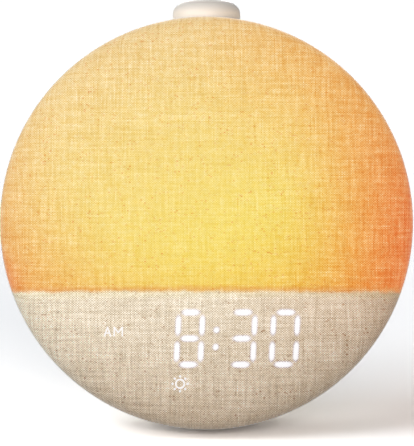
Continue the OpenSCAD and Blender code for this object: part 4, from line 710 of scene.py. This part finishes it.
CLEAR = {"Transmission Weight": 1.0, "IOR": 1.49}
MILKY = {"Subsurface Weight": 0.3, "Subsurface Radius": (0.004, 0.003, 0.002)}
SATIN_SKIN = {"Coat Weight": 0.3, "Coat Roughness": 0.6}
CONE_AXIS = (0, 0.985, -0.174)
FINISHES = {
    # dry and matte, with a fine lattice and flecks
    "linen_cover": finish("stretched_plain_woven_linen", stretched_linen),
    # milky and soft, as light soaks in before it comes back
    "dome_white": finish("opal_polycarbonate_moulded", moulded(
        "#F4F1E8", "#ECE7DA", 0.5, 0.006, 0.38, **MILKY,
    )),
    # a quiet half-matte, with faint cloudy flow marks
    "housing_plastic": finish("abs_moulded_warm_white", moulded("#E9E1D2", "#E2D9C8", 0.4, 0.012, 0.5)),
    # a visible fine grit that hides fingermarks
    "back_plastic": finish("abs_moulded_textured_cream", moulded("#E6DCCB", "#DDD2BF", 0.7, 0.03, 0.55)),
    # smooth to the touch, with a broad soft highlight
    "button_plastic": finish("abs_moulded_satin_cream", moulded(
        "#FFFBF4", "#FBF6EE", 0.5, 0.008, 0.5, **SATIN_SKIN,
    )),
    # bright clean white that throws the lamps' light forward
    "tray_white": finish("polycarbonate_moulded_reflector_white", moulded(
        "#F6F5F1", "#EFEDE7", 0.4, 0.004, 0.3,
    )),
    # flat white gloss over faint raised tracks
    "board_white": finish("glass_epoxy_board_white_mask", laminate("#ECECE8", "#E0DFD8", 4.0)),
    # a yellow drop under clear silicone
    "led_phosphor": finish("led_phosphor_under_silicone", pressed_cells(
        "#E8C24A", "#D9A92E", 0.25, 0.01, 0.3,
    )),
    # chalky and even, without a highlight
    "film_white": finish("diffuser_film_matte_white", moulded("#F3F2EE", "#ECEBE6", 0.3, 0.004, 0.6)),
    # deep flat black that stops light between the digits
    "mask_black": finish("abs_moulded_matte_black", moulded("#1C1C1D", "#232324", 0.5, 0.012, 0.62)),
    # clear inside with a frosted skin
    "pipe_acrylic": finish("acrylic_moulded_frosted", moulded(
        "#F4F5F6", "#ECEFF1", 0.3, 0.006, 0.32, **CLEAR,
    )),
    # green gloss with paler tracks standing just proud
    "board_green": finish("glass_epoxy_board_green_mask", laminate("#1F5A38", "#2F7A4C", 3.2)),
    # a small waxy off-white chip
    "chip_led": finish("chip_led_epoxy", moulded("#F0EFE6", "#E6E2C8", 0.3, 0.004, 0.25)),
    # plain unpolished grey
    "chassis_grey": finish("abs_moulded_plain_grey", moulded("#B9B7B2", "#B0AEA9", 0.4, 0.008, 0.5)),
    # dark and pitted, as it left the sand
    "ballast_iron": finish("cast_iron_blackened", pressed_cells(
        "#3A3938", "#2C2B2B", 0.9, 0.05, 0.6, Metallic=0.8,
    )),
    # a warmer grey with a light grit
    "plinth_grey": finish("abs_moulded_warm_grey", moulded("#CFC8BC", "#C6BFB2", 0.6, 0.02, 0.55)),
    # dusty and dull, with almost no shine
    "pad_rubber": finish("silicone_rubber_pressed", moulded("#A9A49B", "#9F9A91", 0.8, 0.03, 0.75)),
    # fine-grained near-black with a dull sheen
    "chip_black": finish("epoxy_moulded_chip_black", moulded("#202123", "#292A2C", 0.3, 0.01, 0.5)),
    # bright thin sheet with the roll's lines
    "radio_can": finish("tinplate_stamped", worked_metal("#B9BCBE", "#A9ACAE", (0.2, 0.2, 6), 0.004, 0.32)),
    # waxy ivory, as natural nylon is
    "connector_ivory": finish("nylon_moulded_ivory", moulded("#E9E3CF", "#E1DAC3", 0.4, 0.008, 0.45)),
    # warm bright plating with a fine brushed line
    "cell_steel": finish("nickel_plated_steel", worked_metal(
        "#C9C8C4", "#BAB9B4", (0.3, 0.3, 3), 0.003, 0.25,
    )),
    # half-gloss black
    "jack_black": finish("nylon_moulded_black", moulded("#222222", "#2B2B2B", 0.5, 0.01, 0.5)),
    # ribs, one for each of the cable's wires
    "ribbon_grey": finish("pvc_ribbon_ribbed_grey", wound(
        "#B8B9BB", "#94969A", 1.27, 0.25, 0.5, (1, 0, 0),
    )),
    # smooth waxy red
    "wire_red": finish("pvc_wire_insulation_red", moulded("#A8302B", "#962A26", 0.6, 0.006, 0.35)),
    # a little darker and smoother than the back it stands on
    "dial_plastic": finish("abs_moulded_satin_taupe", moulded("#CFC3B0", "#C7BAA6", 0.5, 0.01, 0.45)),
    # bright rings from the lathe
    "shaft_steel": finish("steel_turned_bright", worked_metal(
        "#BDBFC2", "#ABADB0", (0.15, 4, 0.15), 0.004, 0.25,
    )),
    # yellow, with the same rings
    "nut_brass": finish("brass_turned", worked_metal("#C9A25A", "#B78F49", (0.2, 3, 0.2), 0.004, 0.3)),
    # hard near-black with a low shine
    "switch_black": finish("thermoset_moulded_black", moulded("#26262A", "#2E2E33", 0.4, 0.01, 0.45)),
    # slippery milk white
    "acetal_white": finish("acetal_moulded_natural", moulded("#EDECE5", "#E4E2D9", 0.4, 0.005, 0.35)),
    # an even orange-peel film over punched steel
    "grille_metal": finish("steel_perforated_powder_coated", moulded(
        "#CBBFAC", "#C2B6A2", 0.35, 0.02, 0.5,
    )),
    # open cells that swallow light
    "gasket_foam": finish("polyurethane_foam_charcoal", pressed_cells(
        "#3B3C3F", "#26272A", 0.6, 0.12, 0.85,
    )),
    # cool grey plating with small even marks
    "basket_steel": finish("steel_pressed_zinc_plated", worked_metal(
        "#A7ABAD", "#989C9F", (0.5, 0.5, 0.5), 0.006, 0.38,
    )),
    # dull felted fibre
    "cone_paper": finish("paper_pulp_pressed_dark", pressed_cells("#33312F", "#272523", 0.8, 0.05, 0.8)),
    # fine turns, each with its own glint
    "coil_copper": finish("copper_wire_enamelled", wound(
        "#B5623A", "#8F4526", 0.3, 0.1, 0.3, CONE_AXIS, Metallic=1.0,
    )),
    # stiff amber cloth
    "spider_cloth": finish("cotton_resin_dipped", wound(
        "#C79A55", "#A87D3E", 0.6, 0.08, 0.75, (0.7, 0, 0.7),
    )),
    # dense dark grain, half-matte
    "magnet_ferrite": finish("ferrite_sintered", pressed_cells("#34363A", "#2A2B2F", 0.35, 0.02, 0.55)),
    # faint yellow in the plating
    "plate_steel": finish("steel_zinc_plated_yellow", worked_metal(
        "#B8B394", "#A6A181", (0.3, 0.3, 0.3), 0.005, 0.35,
    )),
    # plain dark grey, inside and unseen
    "box_plastic": finish("abs_moulded_dark_grey", moulded("#3A3B3D", "#424345", 0.6, 0.015, 0.55)),
    # bright drawn wire
    "spring_steel": finish("spring_steel_drawn", worked_metal(
        "#B2B4B6", "#9D9FA1", (0.2, 0.2, 0.2), 0.003, 0.28,
    )),
    # bluish bright heads
    "screw_steel": finish("screw_steel_zinc_plated", worked_metal(
        "#AEB0B2", "#9A9C9F", (0.25, 0.25, 0.25), 0.004, 0.33,
    )),
}


# ---- the dressed clock ----

cover = linen_cover()
cover.data.materials.clear()
cover.data.materials.append(FINISHES["linen_cover"])
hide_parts("fabric_cover")
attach(cover, "housing")

for node in nodes.values():
    for slot in node.material_slots:
        slot.material = FINISHES[slot.material.name.split(".")[0]]


def pressed_spring():
    """The coil spring round the stem, which in the clock shortens by the button's travel as it is pressed;
    here it is copied at rest.

    It is drawn wire of one gauge, so it keeps its solid's own mesh.
    """
    spring = place("press_spring", nodes["button_spring"].data.copy())
    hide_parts("button_spring")
    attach(spring, "housing")
    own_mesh(spring)


pressed_spring()


# ---- the studio ----

FLOOR_R, FLOOR_SIDES = 9, 64
# what the floor shows the eye, what it throws on the clock, and how it brightens over these metres
FLOOR_SHOWN, FLOOR_BOUNCE = (2.66, 2.76, 2.88, 1), (0.44, 0.42, 0.4, 1)
FAR_GAIN, GAIN_FROM, GAIN_TO = 1.4, 0.25, 1.0
WORLD_LIGHT, WHITE = (0.1, 0.097, 0.094, 1), (1, 1, 1, 1)
AIM_HEIGHT = 0.09


def seen_by_eye(tree):
    """1 for what the camera sees, straight, in a gloss or through clear plastic, and 0 for light."""
    straight, gloss, clear = (
        add(tree, "ShaderNodeLightPath", output=ray)
        for ray in ("Is Camera Ray", "Is Glossy Ray", "Is Transmission Ray")
    )
    shown = add(tree, "ShaderNodeMath", {0: straight, 1: gloss}, operation="MAXIMUM")
    return add(tree, "ShaderNodeMath", {0: shown, 1: clear}, operation="MAXIMUM")


def studio_floor():
    """A wide sweep of white paper, shown white to the eye, which throws little light back up."""
    sweep = bmesh.new()
    angles = np.linspace(0, 2 * math.pi, FLOOR_SIDES, endpoint=False)
    sweep.faces.new([
        sweep.verts.new((FLOOR_R * math.cos(a), FLOOR_R * math.sin(a), 0)) for a in angles
    ])
    floor = made("studio_floor", sweep)
    paper = bpy.data.materials.new("paper_sweep_white")
    tree = fresh_tree(paper)
    where = add(tree, "ShaderNodeNewGeometry")
    away = add(tree, "ShaderNodeVectorMath", {0: where}, operation="LENGTH")
    gain = add(tree, "ShaderNodeMapRange", {"Value": away, 1: GAIN_FROM, 2: GAIN_TO, 3: 1.0, 4: FAR_GAIN})
    white = add(tree, "ShaderNodeVectorMath", {0: FLOOR_SHOWN[:3], "Scale": gain}, operation="SCALE")
    bright = add(tree, "ShaderNodeBsdfDiffuse", {"Color": white})
    dull = add(tree, "ShaderNodeBsdfDiffuse", {"Color": FLOOR_BOUNCE})
    both = add(tree, "ShaderNodeMixShader", {0: seen_by_eye(tree), 1: dull, 2: bright})
    add(tree, "ShaderNodeOutputMaterial", {"Surface": both})
    floor.data.materials.append(paper)
    return floor


floor = studio_floor()

world = bpy.data.worlds.new("studio_air")
bpy.context.scene.world = world
air = fresh_tree(world)
tint = add(air, "ShaderNodeMix", {0: seen_by_eye(air), 6: WORLD_LIGHT, 7: WHITE}, data_type="RGBA")
sky = add(air, "ShaderNodeBackground", {"Color": tint, "Strength": 1.0})
add(air, "ShaderNodeOutputWorld", {"Surface": sky})


def softbox(name, turn, height, away, size, power, colour):
    """A square softbox, turned from straight ahead and raised by these degrees, aimed at the clock."""
    lamp = bpy.data.lights.new(name, "AREA")
    lamp.shape = "SQUARE"
    lamp.size = size
    lamp.energy = power
    lamp.color = colour
    turn, height = math.radians(turn), math.radians(height)
    level = math.cos(height)
    sight = Vector((level * math.sin(turn), -level * math.cos(turn), math.sin(height)))
    box = place(name, lamp)
    box.location = Vector((0, 0, AIM_HEIGHT)) + sight * away
    box.rotation_mode = "QUATERNION"
    box.rotation_quaternion = (-sight).to_track_quat("-Z", "Y")
    return box


# A large softbox up on the left, a small warm fill that reaches under the ring, and one for the
# back. Each is a turn and a height in degrees, a distance and a size in metres, and watts.
softbox("key_softbox", -60, 30, 4.0, 3.0, 74.0, (1.0, 1.0, 1.0))
softbox("fill_softbox", 5, 12, 3.5, 1.5, 60.0, (1.0, 0.91, 0.86))
back = softbox("back_softbox", 182, 8, 4.0, 1.2, 60.0, (1.0, 1.0, 1.0))
# a flag keeps the back light off the floor
flagged = bpy.data.collections.new("flagged")
flagged.objects.link(floor)
back.light_linking.receiver_collection = flagged
flagged.collection_objects[0].light_linking.link_state = "EXCLUDE"

# ---- the camera ----

# the clock fills a frame 446 pixels high, each PIXEL wide at its face
FRAME_H = 446
PIXEL = 0.42355 * MM
AIM_X, AIM_Z = 0.5, 0.07  # pixels
CAMERA_AWAY = 4.0
lens = bpy.data.cameras.new("camera")
lens.sensor_width = 36.0
lens.lens = CAMERA_AWAY * lens.sensor_width / (FRAME_H * PIXEL)
lens.clip_end = 30.0
camera = place("camera", lens)
stand = Matrix.Translation((AIM_X * PIXEL, -CAMERA_AWAY, AIM_Z * PIXEL))
camera.matrix_world = CLOCK @ stand @ Matrix.Rotation(math.pi / 2, 4, "X")
bpy.context.scene.camera = camera

bpy.context.scene.view_settings.view_transform = "Standard"
# the denoiser takes the weave as it finds it, so the threads stay
bpy.context.scene.cycles.denoising_prefilter = "NONE"
